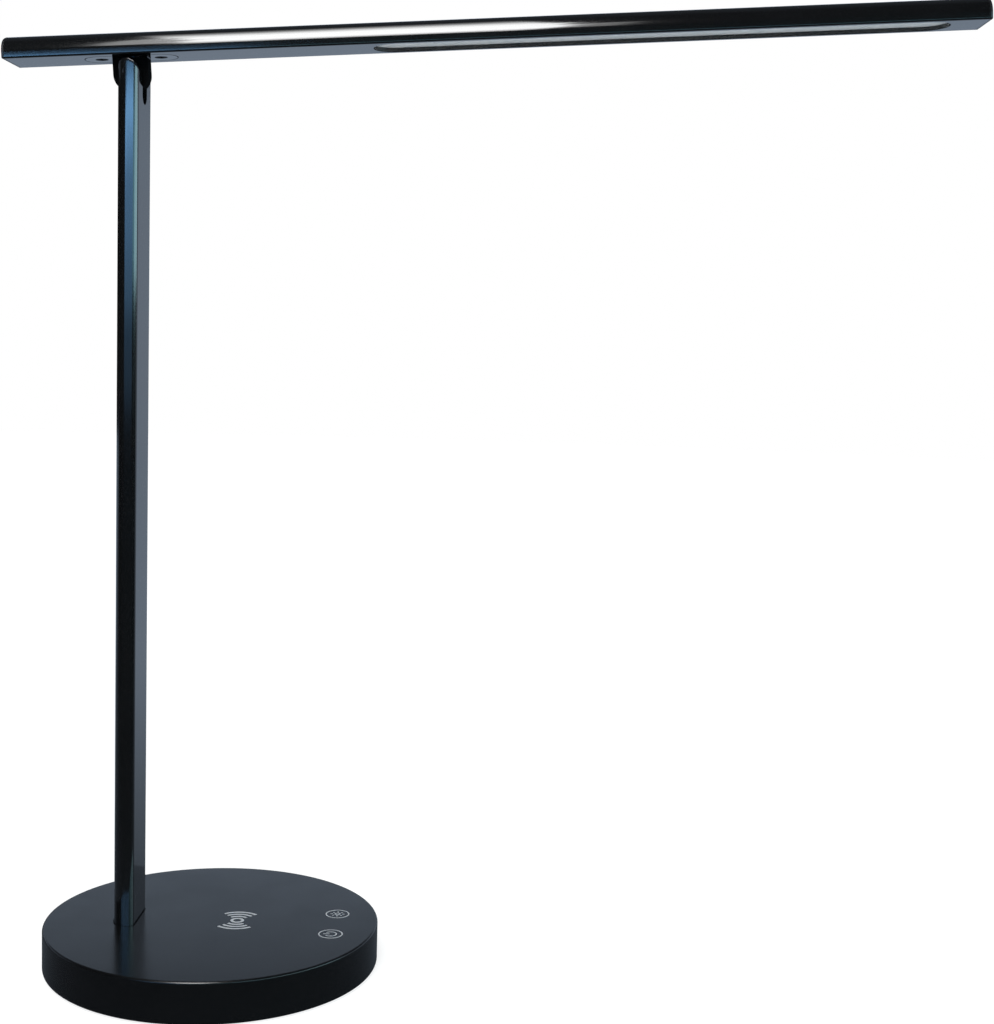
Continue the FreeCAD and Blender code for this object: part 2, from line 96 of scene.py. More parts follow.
def arc(centre: Pair, radius: float, start: float, end: float, steps: int) -> Array:
    """Points of a circle: the centre plus the radius times the unit vectors of even angles."""
    return np.array(centre) + radius * unit(np.linspace(start, end, steps + 1))


def ruled(first: Array, second: Array, steps: int = WALL_STEPS) -> Array:
    """Grid of lines between two rows: (1 - t) times the first plus t times the second."""
    t = np.linspace(0, 1, steps + 1)[:, None, None]
    return (1 - t) * first + t * second


def at_height(loop: Array, height: float | Array) -> Array:
    """Lift a flat outline to a height: x and y stay, z is the height."""
    return np.column_stack([loop, np.broadcast_to(height, len(loop))])


def level_line(across: Array, height: float) -> Array:
    """Row of points across a profile, all at one height."""
    return np.column_stack([across, np.full(len(across), height)])


def box_reach(angle: Array, along: float, across: float) -> Array:
    """Distance from a rectangle's middle to its edge: the smaller of the ways to end and side.

    Args:
        angle: directions from the middle.
        along: half the rectangle's length.
        across: half its width.

    Returns:
        One distance for each direction.
    """
    tiny = np.finfo(float).tiny
    to_end = along / np.maximum(np.abs(np.cos(angle)), tiny)
    to_side = across / np.maximum(np.abs(np.sin(angle)), tiny)
    return np.minimum(to_end, to_side)


@dataclass
class Skin:
    """Grids of points that together make one closed surface."""

    patches: list[Array] = field(default_factory=list)
    corners: list[NDArray[np.int64]] = field(default_factory=list)
    count: int = 0

    def add(self, grid: Array, wrap: bool = False) -> None:
        """Add a grid whose neighbouring points are joined by four-cornered faces.

        Args:
            grid: points, rows by columns by three.
            wrap: whether the last column is joined to the first.
        """
        rows, columns, _ = grid.shape
        row = np.arange(rows - 1)[:, None] * columns
        column = np.arange(columns if wrap else columns - 1)[None, :]
        beside = (column + 1) % columns
        quads = [row + column, row + beside, row + columns + beside, row + columns + column]
        self.corners.append(np.stack(quads, axis=-1).reshape(-1, 4) + self.count)
        self.patches.append(grid.reshape(-1, 3))
        self.count += rows * columns

    def mesh(self, name: str, place: "ArmFrame | None" = None) -> bpy.types.Mesh:
        """Join the grids where their points meet and turn every face outwards.

        Args:
            name: name of the mesh.
            place: axes that the points are given in, or none for the lamp's own.

        Returns:
            The mesh, smooth but for its sharp edges.
        """
        points = np.concatenate(self.patches)
        points = place.placed(points) if place else points
        mesh = bpy.data.meshes.new(name)
        mesh.from_pydata(points.tolist(), [], np.concatenate(self.corners).tolist())
        work = bmesh.new()
        work.from_mesh(mesh)
        bmesh.ops.remove_doubles(work, verts=work.verts, dist=MERGE_DISTANCE)
        bmesh.ops.recalc_face_normals(work, faces=work.faces)
        work.to_mesh(mesh)
        work.free()
        mesh.shade_smooth()
        mesh.set_sharp_from_angle(angle=SHARP_ANGLE)
        return mesh


@dataclass(frozen=True)
class ArmFrame:
    """Axes of the arm: x along it, y across it, z out of its crown, the hinge pin at the origin."""

    pivot: Triple = tuple(HINGE["pos_m"])
    tilt: float = math.radians(-HINGE["range_deg"][0] - STRAIGHT_DOWN)

    def placed(self, points: Array) -> Array:
        """Turn points about the pin by the arm's tilt at rest, and move them to the pin."""
        cosine, sine = math.cos(self.tilt), math.sin(self.tilt)
        turn = np.array([[cosine, 0, -sine], [0, 1, 0], [sine, 0, cosine]])
        return points @ turn.T + np.array(self.pivot)


@dataclass(frozen=True)
class DProfile:
    """Section of an extrusion: flat face, edge rounds, straight sides, shoulders, crowned back."""

    edge_round: float
    shoulder_round: float = 0.0052
    width: float = 0.0252
    thickness: float = 0.0107
    crown_rise: float = 0.0012
    inner_round: float = 0.0003
    steps: int = 10

    @property
    def run(self) -> float:
        """Distance of a shoulder's centre from the middle."""
        return self.width / 2 - self.shoulder_round

    @property
    def crown_angle(self) -> float:
        """Angle at which a shoulder meets the crown."""
        return QUARTER - 2 * math.atan2(self.crown_rise, self.run)

    @property
    def crown_radius(self) -> float:
        """Radius of the crown, which touches both shoulders."""
        return self.shoulder_round + self.run / math.cos(self.crown_angle)

    def edge(self, inset: float) -> float:
        """Radius of the edge round, inside by an inset."""
        return max(self.edge_round - inset, self.inner_round)

    def flat_half(self, inset: float) -> float:
        """Half the width of the flat face, inside by an inset."""
        return self.width / 2 - inset - self.edge(inset)

    def flank(self, inset: float, crown_end: float) -> Array:
        """Half outline: edge round, side, shoulder and crown as arcs that touch each other.

        Args:
            inset: distance inside the outer outline.
            crown_end: angle on the crown where the outline stops.

        Returns:
            Distance across and height of each point, from the flat face to the crown.
        """
        edge = self.edge(inset)
        corner = (self.flat_half(inset), inset + edge)
        shoulder = (self.run, self.thickness - self.shoulder_round - self.crown_rise)
        crown = (0.0, self.thickness - self.crown_radius)
        fine, meet = 2 * self.steps, self.crown_angle
        return np.concatenate([
            arc(corner, edge, -QUARTER, 0, self.steps),
            arc(shoulder, self.shoulder_round - inset, 0, meet, fine),
            arc(crown, self.crown_radius - inset, meet, crown_end, fine)[1:],
        ])

    def rim(self, inset: float) -> Array:
        """Outline without the flat face: one half outline and its mirror image."""
        half = self.flank(inset, QUARTER)
        return np.concatenate([half, half[-2::-1] * (-1, 1)])

    def loop(self, inset: float, flat_steps: int) -> Array:
        """Closed outline: the rim, then evenly spaced points across the flat face."""
        flat = self.flat_half(inset)
        across = np.linspace(-flat, flat, flat_steps + 1)[1:-1]
        return np.concatenate([self.rim(inset), level_line(across, inset)])


@dataclass(frozen=True)
class RoundOpening:
    """Opening with straight sides and half-round ends, and the rectangle of wall around it."""

    start: float
    end: float
    radius: float
    corner: float
    runs: int = 24
    steps: int = 12

    @property
    def face(self) -> Array:
        """Angles of the rectangle's end, from corner to corner."""
        return np.linspace(-self.corner, self.corner, 2 * self.steps + 1)

    @property
    def angles(self) -> Array:
        """Angles of one end, with the two corners of the rectangle among them."""
        side = np.linspace(-QUARTER, -self.corner, self.steps + 1)
        return np.concatenate([side[:-1], self.face, -side[-2::-1]])

    def outline(self, distance: Array) -> Array:
        """Both ends at a distance for each angle from their centres, and straight runs between.

        Args:
            distance: distance from the end's centre for each angle.

        Returns:
            Closed outline, one row of two coordinates for each point.
        """
        end = distance[:, None] * unit(self.angles)
        run = np.linspace(self.end, self.start, self.runs + 1)[1:-1]
        side = level_line(run, distance[-1])
        return np.concatenate([(self.end, 0.0) + end, side, (self.start, 0.0) - end,
                               side[::-1] * (1, -1)])

    def hole(self, offset: float = 0.0) -> Array:
        """Outline of the opening, made larger by an offset."""
        return self.outline(np.full(len(self.angles), self.radius + offset))

    def frame(self, half_width: float) -> Array:
        """Rectangle around the opening, each point on the ray through the opening's own."""
        return self.outline(box_reach(self.angles, half_width / math.tan(self.corner), half_width))

    def face_points(self, half_width: float) -> Array:
        """Distances across of the points on the rectangle's ends."""
        return half_width / math.tan(self.corner) * np.tan(self.face)


# Finishes


class Graph:
    """A node tree with short ways to add nodes and join them."""

    def __init__(self, tree: bpy.types.NodeTree) -> None:
        """Start from an empty tree."""
        self.tree = tree
        tree.nodes.clear()

    def add(self, kind: str, settings: dict[str, object] | None = None, **sources: object) -> Node:
        """Add a node.

        Args:
            kind: Blender's name of the node.
            settings: properties of the node.
            sources: what its inputs are set to, as in feed.

        Returns:
            The new node.
        """
        node = self.tree.nodes.new(kind)
        for key, value in (settings or {}).items():
            setattr(node, key, value)
        return self.feed(node, **sources)

    def feed(self, node: Node, **sources: object) -> Node:
        """Set a node's inputs, by link where the source is a socket and by value otherwise.

        Args:
            node: node whose inputs are set.
            sources: sockets or values by input name, with underscores for spaces, or by the
                letter i and the input's number.

        Returns:
            The node.
        """
        for key, source in sources.items():
            numbered = key[0] == "i" and key[1:].isdigit()
            socket = node.inputs[int(key[1:]) if numbered else key.replace("_", " ")]
            if isinstance(source, Socket):
                self.tree.links.new(source, socket)
            else:
                socket.default_value = source
        return node

    def math(self, operation: str, first: object, second: object) -> Socket:
        """Add a sum or comparison of two values and give its result."""
        return self.add("ShaderNodeMath", {"operation": operation}, i0=first, i1=second).outputs[0]

    def vector(self, operation: str, **sources: object) -> Node:
        """Add a sum of vectors."""
        return self.add("ShaderNodeVectorMath", {"operation": operation}, **sources)

    def group(self, tree: bpy.types.NodeTree, **sources: object) -> Socket:
        """Add a shared group and give its result."""
        return self.add("ShaderNodeGroup", {"node_tree": tree}, **sources).outputs[0]

    def noise(self, place: Socket, scale: object, detail: float, distortion: float = 0.0) -> Socket:
        """Add noise and give its value."""
        return self.add("ShaderNodeTexNoise", Vector=place, Scale=scale, Detail=detail,
                        Distortion=distortion).outputs[0]

    def place(self, kind: str = "Object") -> Socket:
        """Add the coordinates of the shaded point."""
        return self.add("ShaderNodeTexCoord").outputs[kind]

    def ramp(self, value: Socket, span: Pair, result: Pair = WHOLE, smooth: bool = False) -> Socket:
        """Carry a value from one range to another.

        Args:
            value: socket that gives the value.
            span: first and last value.
            result: what the first and the last value give.
            smooth: whether the change eases in and out.

        Returns:
            Socket of the result.
        """
        kind = {"interpolation_type": "SMOOTHSTEP" if smooth else "LINEAR"}
        node = self.add("ShaderNodeMapRange", kind, Value=value, From_Min=span[0],
                        From_Max=span[1], To_Min=result[0], To_Max=result[1])
        return node.outputs["Result"]


FLOAT, VECTOR, COLOUR = "NodeSocketFloat", "NodeSocketVector", "NodeSocketColor"
NOISE_MEAN = 0.5
NOISE_DETAIL = 3.0
FINE_STEP = 14.0
FINE_SHARE = 0.6
FINE_DETAIL = 2.0
SMUDGE_DETAIL = 4.0
SMUDGE_BEND = 0.6


def effect_group(name: str, inputs: dict[str, str], output: str,
                 kind: str) -> tuple[Graph, dict[str, Socket], Node]:
    """Start a shader node group with named sockets.

    Args:
        name: name of the group.
        inputs: socket type by input name.
        output: name of its output.
        kind: socket type of its output.

    Returns:
        The group's graph, its inputs by name, and the node that takes its output.
    """
    tree = bpy.data.node_groups.new(name, "ShaderNodeTree")
    for label, socket_type in inputs.items():
        tree.interface.new_socket(label, in_out="INPUT", socket_type=socket_type)
    tree.interface.new_socket(output, in_out="OUTPUT", socket_type=kind)
    graph = Graph(tree)
    source = graph.add("NodeGroupInput")
    given = {label: source.outputs[label] for label in inputs}
    return graph, given, graph.add("NodeGroupOutput")


@cache
def mottled_colour() -> bpy.types.NodeTree:
    """Group that varies a colour: the colour times 1 plus a share of two layers of noise."""
    kinds = {"Vector": VECTOR, "Base": COLOUR, "Scale": FLOAT, "Spread": FLOAT}
    graph, given, result = effect_group("mottled_colour", kinds, "Shade", COLOUR)
    broad = graph.noise(given["Vector"], given["Scale"], NOISE_DETAIL)
    fine_scale = graph.math("MULTIPLY", given["Scale"], FINE_STEP)
    fine = graph.noise(given["Vector"], fine_scale, FINE_DETAIL)
    both = graph.math("ADD", broad, graph.math("MULTIPLY", fine, FINE_SHARE))
    apart = graph.math("SUBTRACT", both, NOISE_MEAN * (1 + FINE_SHARE))
    shift = graph.math("MULTIPLY", graph.math("MULTIPLY", apart, given["Spread"]), 1 / NOISE_MEAN)
    factor = graph.math("ADD", shift, 1.0)
    graph.feed(result, Shade=graph.vector("SCALE", i0=given["Base"], Scale=factor).outputs[0])
    return graph.tree


@cache
def handling_marks() -> bpy.types.NodeTree:
    """Group that varies roughness: the roughness plus a share of soft smudges of bent noise."""
    kinds = {"Vector": VECTOR, "Roughness": FLOAT, "Scale": FLOAT, "Spread": FLOAT}
    graph, given, result = effect_group("handling_marks", kinds, "Roughness", FLOAT)
    smudge = graph.noise(given["Vector"], given["Scale"], SMUDGE_DETAIL, SMUDGE_BEND)
    apart = graph.math("SUBTRACT", smudge, NOISE_MEAN)
    shift = graph.math("MULTIPLY", apart, given["Spread"])
    graph.feed(result, Roughness=graph.math("ADD", given["Roughness"], shift))
    return graph.tree


def relief_group(kind: Relief) -> tuple[Graph, Socket, Socket, Node]:
    """Start the group of a relief, whose place is stretched before use.

    Args:
        kind: the relief.

    Returns:
        The group's graph, the stretched place, the scale, and the node that takes the height.
    """
    kinds = {"Vector": VECTOR, "Stretch": VECTOR, "Scale": FLOAT}
    graph, given, result = effect_group(kind.value, kinds, "Height", FLOAT)
    place = graph.vector("MULTIPLY", i0=given["Vector"], i1=given["Stretch"]).outputs[0]
    return graph, place, given["Scale"], result


@cache
def drawn_lines() -> bpy.types.NodeTree:
    """Group for extruded metal: noise drawn out along one direction, as height."""
    graph, place, scale, result = relief_group(Relief.DRAWN)
    graph.feed(result, Height=graph.noise(place, scale, NOISE_DETAIL))
    return graph.tree


@cache
def pebbled_skin() -> bpy.types.NodeTree:
    """Group for moulded plastic: rounded cells plus noise, as height."""
    graph, place, scale, result = relief_group(Relief.PEBBLED)
    cells = graph.add("ShaderNodeTexVoronoi", {"feature": "SMOOTH_F1"}, Vector=place, Scale=scale)
    noise = graph.noise(place, scale, NOISE_DETAIL)
    graph.feed(result, Height=graph.math("ADD", cells.outputs["Distance"], noise))
    return graph.tree


RELIEF_GROUPS = {Relief.DRAWN: drawn_lines, Relief.PEBBLED: pebbled_skin}


@dataclass(frozen=True)
class Finish:
    """Surface with mottled colour, smudged roughness and a fine relief."""

    name: str
    colour: Triple
    roughness: float
    metallic: float = 0.0
    ior: float = 1.5
    spread: float = 0.12
    mottle_scale: float = 45.0
    smudge: float = 0.06
    relief: Relief = Relief.PEBBLED
    stretch: Triple = (1.0, 1.0, 1.0)
    relief_scale: float = 2200.0
    relief_depth: float = 2e-5
    relief_strength: float = 0.5
    turn: float = 0.0

    def material(self) -> bpy.types.Material:
        """Make the material once, and give it out again on later calls."""
        label = f"{self.name}_finish"
        if label in bpy.data.materials:
            return bpy.data.materials[label]
        material = bpy.data.materials.new(label)
        material.use_nodes = True
        graph = Graph(material.node_tree)
        shader = graph.add("ShaderNodeBsdfPrincipled")
        graph.add("ShaderNodeOutputMaterial", Surface=shader.outputs[0])
        self.dress(graph, shader)
        return material

    def dress(self, graph: Graph, shader: Node) -> None:
        """Feed the shader from the shared groups.

        Args:
            graph: the material's node tree.
            shader: its Principled BSDF.
        """
        turn = (0.0, self.turn, 0.0)
        place = graph.add("ShaderNodeMapping", Vector=graph.place(), Rotation=turn).outputs[0]
        shade = graph.group(mottled_colour(), Vector=place, Base=(*self.colour, 1.0),
                            Scale=self.mottle_scale, Spread=self.spread)
        rough = graph.group(handling_marks(), Vector=place, Roughness=self.roughness,
                            Scale=self.mottle_scale, Spread=self.smudge)
        height = graph.group(RELIEF_GROUPS[self.relief](), Vector=place, Stretch=self.stretch,
                             Scale=self.relief_scale)
        bump = graph.add("ShaderNodeBump", Height=height, Strength=self.relief_strength,
                         Distance=self.relief_depth)
        graph.feed(shader, Base_Color=shade, Roughness=rough, Normal=bump.outputs[0],
                   Metallic=self.metallic, IOR=self.ior)


@dataclass(frozen=True)
class OpalFinish(Finish):
    """Milky plastic that light passes through softly."""

    milk: float = 0.35
    milk_radius: Triple = (1.0, 1.0, 1.0)
    depth: float = 0.004

    def dress(self, graph: Graph, shader: Node) -> None:
        """Dress as any finish, and let light spread under the surface."""
        super().dress(graph, shader)
        graph.feed(shader, Subsurface_Weight=self.milk, Subsurface_Radius=self.milk_radius,
                   Subsurface_Scale=self.depth)


@dataclass(frozen=True)
class KnuckleFinish(Finish):
    """Black knuckle: its plate is as smooth as the arm around it, its tongue is matt."""

    tongue_roughness: float = 0.55
    plate_level: float = 0.0066
    edge: float = 0.0003
    coat_roughness: float = 0.08
    coat_ior: float = 1.77

    def dress(self, graph: Graph, shader: Node) -> None:
        """Dress as any finish, roughen all below the plate and coat the plate.

        Args:
            graph: the material's node tree.
            shader: its Principled BSDF.
        """
        super().dress(graph, shader)
        axes = ArmFrame()
        apart = graph.vector("SUBTRACT", i0=graph.place(), i1=axes.pivot).outputs[0]
        up = (-math.sin(axes.tilt), 0.0, math.cos(axes.tilt))
        level = graph.vector("DOT_PRODUCT", i0=apart, i1=up).outputs["Value"]
        span = (self.plate_level, self.plate_level + self.edge)
        matt = graph.ramp(level, span, (self.tongue_roughness, 0.0))
        smooth = shader.inputs["Roughness"].links[0].from_socket
        graph.feed(shader, Roughness=graph.math("MAXIMUM", smooth, matt),
                   Coat_Weight=graph.ramp(level, span), Coat_Roughness=self.coat_roughness,
                   Coat_IOR=self.coat_ior)


ANODISED_ARM = Finish("anodised_black_arm", (0.004, 0.0042, 0.0046), 0.08, ior=1.77, spread=0.2,
                      smudge=0.03, relief=Relief.DRAWN, stretch=(0.01, 1.0, 1.0),
                      relief_scale=2600.0, relief_depth=4e-7, turn=ArmFrame().tilt)
ANODISED_POST = replace(ANODISED_ARM, name="anodised_black_post", roughness=0.11,
                        stretch=(1.0, 1.0, 0.01), turn=0.0)
MOULDED_BLACK = Finish("moulded_black", (0.003, 0.0031, 0.0034), 0.22, spread=0.18,
                       relief_scale=3200.0, relief_depth=4e-6)
CAP_BLACK = Finish("cap_black", (0.01, 0.01, 0.011), 0.3, relief_scale=3000.0, relief_depth=8e-6)
KNUCKLE_BLACK = KnuckleFinish("knuckle_black", (0.003, 0.0031, 0.0034), 0.12, ior=1.03,
                              smudge=0.03, relief_scale=2400.0, relief_depth=1e-6)
DARK_STEEL = Finish("dark_steel", (0.02, 0.02, 0.021), 0.45, metallic=1.0, relief=Relief.DRAWN,
                    stretch=(1.0, 0.05, 1.0), relief_scale=4000.0, relief_depth=4e-6)
SUNK_BLACK = Finish("sunk_screw_black", (0.006, 0.006, 0.0065), 0.5, ior=1.15,
                    relief_scale=4000.0, relief_depth=8e-6)
SCREW_BLACK = Finish("screw_black", (0.03, 0.03, 0.032), 0.34, metallic=1.0,
                     relief_scale=4000.0, relief_depth=8e-6)
RUBBER = Finish("foot_rubber", (0.02, 0.02, 0.021), 0.75, ior=1.45, relief_scale=900.0,
                relief_depth=6e-5)
FLOOR_PLASTIC = Finish("floor_plastic", (0.016, 0.016, 0.017), 0.5, relief_scale=1800.0)
ZINC_STEEL = Finish("zinc_steel", (0.45, 0.45, 0.46), 0.38, metallic=1.0, relief_scale=700.0,
                    relief_depth=3e-5)
COPPER = Finish("enamelled_copper", (0.72, 0.3, 0.13), 0.3, metallic=1.0, relief=Relief.DRAWN,
                relief_scale=1500.0)
FERRITE = Finish("ferrite_grey", (0.05, 0.05, 0.055), 0.55, relief_scale=1500.0)
BOARD_GREEN = Finish("board_green", (0.02, 0.12, 0.05), 0.35, spread=0.25, relief_scale=900.0)
BOARD_PART = Finish("board_part_black", (0.03, 0.03, 0.032), 0.45, relief_scale=1800.0)
FOAM = Finish("conductive_foam", (0.07, 0.07, 0.075), 0.9, relief_scale=900.0, relief_depth=1e-4)
SPACER = Finish("spacer_white", (0.7, 0.7, 0.68), 0.5, relief_scale=1500.0)
SOCKET = Finish("socket_black", (0.014, 0.014, 0.015), 0.35, relief_scale=2400.0,
                relief_depth=1e-5)
BRASS = Finish("contact_brass", (0.75, 0.55, 0.22), 0.22, metallic=1.0, relief=Relief.DRAWN,
               stretch=(0.1, 1.0, 1.0), relief_scale=3000.0, relief_depth=5e-6)
SLEEVE = Finish("lead_sleeve", (0.025, 0.025, 0.027), 0.5, relief_scale=1800.0)
INSERT_ALLOY = Finish("insert_alloy", (0.045, 0.046, 0.048), 0.42, metallic=1.0,
                      relief=Relief.DRAWN, stretch=(1.0, 0.05, 1.0), relief_scale=1800.0,
                      relief_depth=1e-5)
WASHER = Finish("washer_nylon", (0.02, 0.02, 0.021), 0.45, relief_scale=2400.0)
LED_PANEL = Finish("led_panel_white", (0.75, 0.76, 0.76), 0.4, relief_scale=900.0)
LED_LENS = Finish("led_lens_yellow", (0.8, 0.62, 0.18), 0.3, relief_scale=1800.0)
OPAL = OpalFinish("opal_white", (0.72, 0.73, 0.745), 0.35, spread=0.03, relief_scale=2600.0,
                  relief_depth=6e-6)
MARK_INK = Finish("mark_ink_grey", (0.45, 0.46, 0.48), 0.5, spread=0.1, relief_scale=3000.0,
                  relief_depth=6e-6)


# Pieces


def make_piece(name: str, skin: Skin, finish: Finish, body: Body,
               stands_for: str | None = None) -> None:
    """Put a new piece into the scene, on its body and with its finish.

    Args:
        name: name of the piece.
        skin: its surface, in the arm's axes on the arm and in the lamp's frame elsewhere.
        finish: its finish.
        body: body that it rides on.
        stands_for: node that it replaces.
    """
    mesh = skin.mesh(name, ArmFrame() if body is Body.ARM else None)
    mesh.materials.append(finish.material())
    piece = bpy.data.objects.new(name, mesh)
    bpy.context.scene.collection.objects.link(piece)
    even = piece.modifiers.new("even_normals", "WEIGHTED_NORMAL")
    even.keep_sharp = True
    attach(piece, body.value)
    if stands_for:
        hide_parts(stands_for)
    LOG.info("%s: %d faces on %s", name, len(mesh.polygons), body.value)


def dress_nodes(finishes: dict[str, Finish]) -> None:
    """Give nodes that keep their own shape a finish.

    Args:
        finishes: finish by node name.
    """
    for name, finish in finishes.items():
        for slot in frame["nodes"][name].material_slots:
            slot.material = finish.material()
        LOG.info("%s: %s", name, finish.name)


@dataclass
class Base:
    """Round base: housing over the plate, the weight and the charger."""

    post: "Post"
    wall: float = 0.0025
    roof: float = 0.0025
    top_round: float = 0.001
    foot_round: float = 0.0016
    opening_gap: float = 0.00015
    opening_round: float = 0.00025
    opening_steps: int = 64
    socket_hole: float = 0.00415
    socket_level: float = 0.00885
    panel_half: float = 0.007
    around: int = 288
    steps: int = 8

    def __post_init__(self) -> None:
        """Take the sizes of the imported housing, and lay out the angles of panel and rings."""
        low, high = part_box("base_cover")
        self.radius, self.foot, self.top = high[0], low[2], high[2]
        self.panel_height = self.socket_level - self.foot - self.foot_round
        corner = math.atan2(self.panel_height, self.panel_half)
        self.side = np.linspace(-corner, corner, 2 * self.steps + 1)
        self.upper = np.linspace(corner, math.pi - corner, 2 * self.steps + 1)
        near = math.pi - np.arcsin(self.panel_height / np.tan(self.upper) / self.radius)
        rest = np.linspace(near[-1], near[0] + FULL_TURN, self.around + 1)
        self.turns = np.concatenate([near, rest[1:-1]])

    def ring(self, radius: float, height: float) -> Array:
        """Circle about the base's axis at a height."""
        return at_height(radius * unit(self.turns), height)

    def opening(self, gap: float, height: float) -> Array:
        """Outline of the post, a gap larger, met by rays from the post's middle to the rim.

        Args:
            gap: distance outside the post.
            height: height of the outline.

        Returns:
            One point for each angle of the ring.
        """
        middle = np.array([self.post.middle, 0.0])
        outline = self.post.plan(self.post.profile.loop(-gap, self.opening_steps)) - middle
        turn = np.arctan2(outline[:, 1], outline[:, 0])
        order = np.argsort(turn)
        rays = self.radius * unit(self.turns) - middle
        angle = np.arctan2(rays[:, 1], rays[:, 0])
        reach = np.interp(angle, turn[order], np.hypot(*outline.T)[order], period=FULL_TURN)
        return at_height(middle + reach[:, None] * unit(angle), height)

    def panel(self, radius: float) -> tuple[Array, Array]:
        """Socket's hole and the panel about it, both laid on a cylinder.

        Args:
            radius: radius of the cylinder.

        Returns:
            Outline of the hole and outline of the panel.
        """
        half = np.concatenate([self.side[:-1], self.upper[:-1]])
        way = unit(np.concatenate([half, half + math.pi]))
        across, rise = self.socket_hole * way.T
        back = -np.sqrt(radius ** 2 - across ** 2)
        hole = np.column_stack([back, across, self.socket_level + rise])
        reach = box_reach(np.arctan2(way[:, 1], way[:, 0]), self.panel_half, self.panel_height)
        across, rise = reach * way.T
        turn = np.arcsin(across / self.radius)
        edge = at_height(radius * unit(turn) * (-1, 1), self.socket_level + rise)
        return hole, edge

    def skirt(self, radius: float) -> Array:
        """Part of a cylinder that the panel leaves, with the panel's heights at its ends."""
        rest = radius * unit(np.concatenate([self.turns[2 * self.steps:], self.turns[:1]]))
        heights = self.socket_level + self.panel_half * np.tan(self.side)
        return np.stack([at_height(rest, height) for height in heights])

    def housing(self) -> Skin:
        """Turned wall with rounded edges, a ruled roof about the post, and the socket's hole.

        Returns:
            Closed skin of the housing.
        """
        inner, ceiling = self.radius - self.wall, self.top - self.roof
        low, high = self.socket_level - self.panel_height, self.socket_level + self.panel_height
        bend = (self.radius - self.top_round, self.top - self.top_round)
        top = arc(bend, self.top_round, 0, QUARTER, self.steps)
        foot = arc((self.radius - self.foot_round, low), self.foot_round, 0, -QUARTER, self.steps)
        upper = np.stack([self.ring(r, z) for r, z in ((self.radius, high), *top)])
        lower = np.stack([self.ring(r, z) for r, z in
                          ((self.radius, low), *foot, (inner, self.foot), (inner, low))])
        gap, lip = self.opening_gap, self.opening_round
        mouth = np.stack([self.opening(gap + lip, self.top), self.opening(gap, self.top - lip),
                          self.opening(gap, ceiling)])
        hole, panel = self.panel(self.radius)
        inner_hole, inner_panel = self.panel(inner)
        inner_top = self.ring(inner, ceiling)
        skin = Skin()
        for patch in (upper, lower, mouth, ruled(upper[-1], mouth[0], self.steps),
                      ruled(inner_top, mouth[-1], self.steps),
                      ruled(self.ring(inner, high), inner_top, 1),
                      ruled(hole, panel, self.steps), ruled(inner_hole, inner_panel, self.steps),
                      ruled(hole, inner_hole, 1)):
            skin.add(patch, wrap=True)
        for radius in (self.radius, inner):
            skin.add(self.skirt(radius))
        return skin

    def build(self) -> None:
        """Make the housing."""
        make_piece("base_housing", self.housing(), MOULDED_BLACK, Body.STAND,
                   "base_cover")

    def dress(self) -> None:
        """Finish the pieces inside and under the housing."""
        dress_nodes({
            "base_plate": FLOOR_PLASTIC, "foot_pad": RUBBER, "counterweight": ZINC_STEEL,
            "base_screws": SCREW_BLACK, "charging_coil": COPPER, "coil_leads": COPPER,
            "coil_ferrite": FERRITE, "main_board": BOARD_GREEN, "touch_board": BOARD_GREEN,
            "board_parts": BOARD_PART, "touch_electrodes": FOAM, "board_spacers": SPACER,
            "dc_socket": SOCKET, "dc_contact": BRASS, "jack_lead": SLEEVE, "touch_lead": SLEEVE,
        })


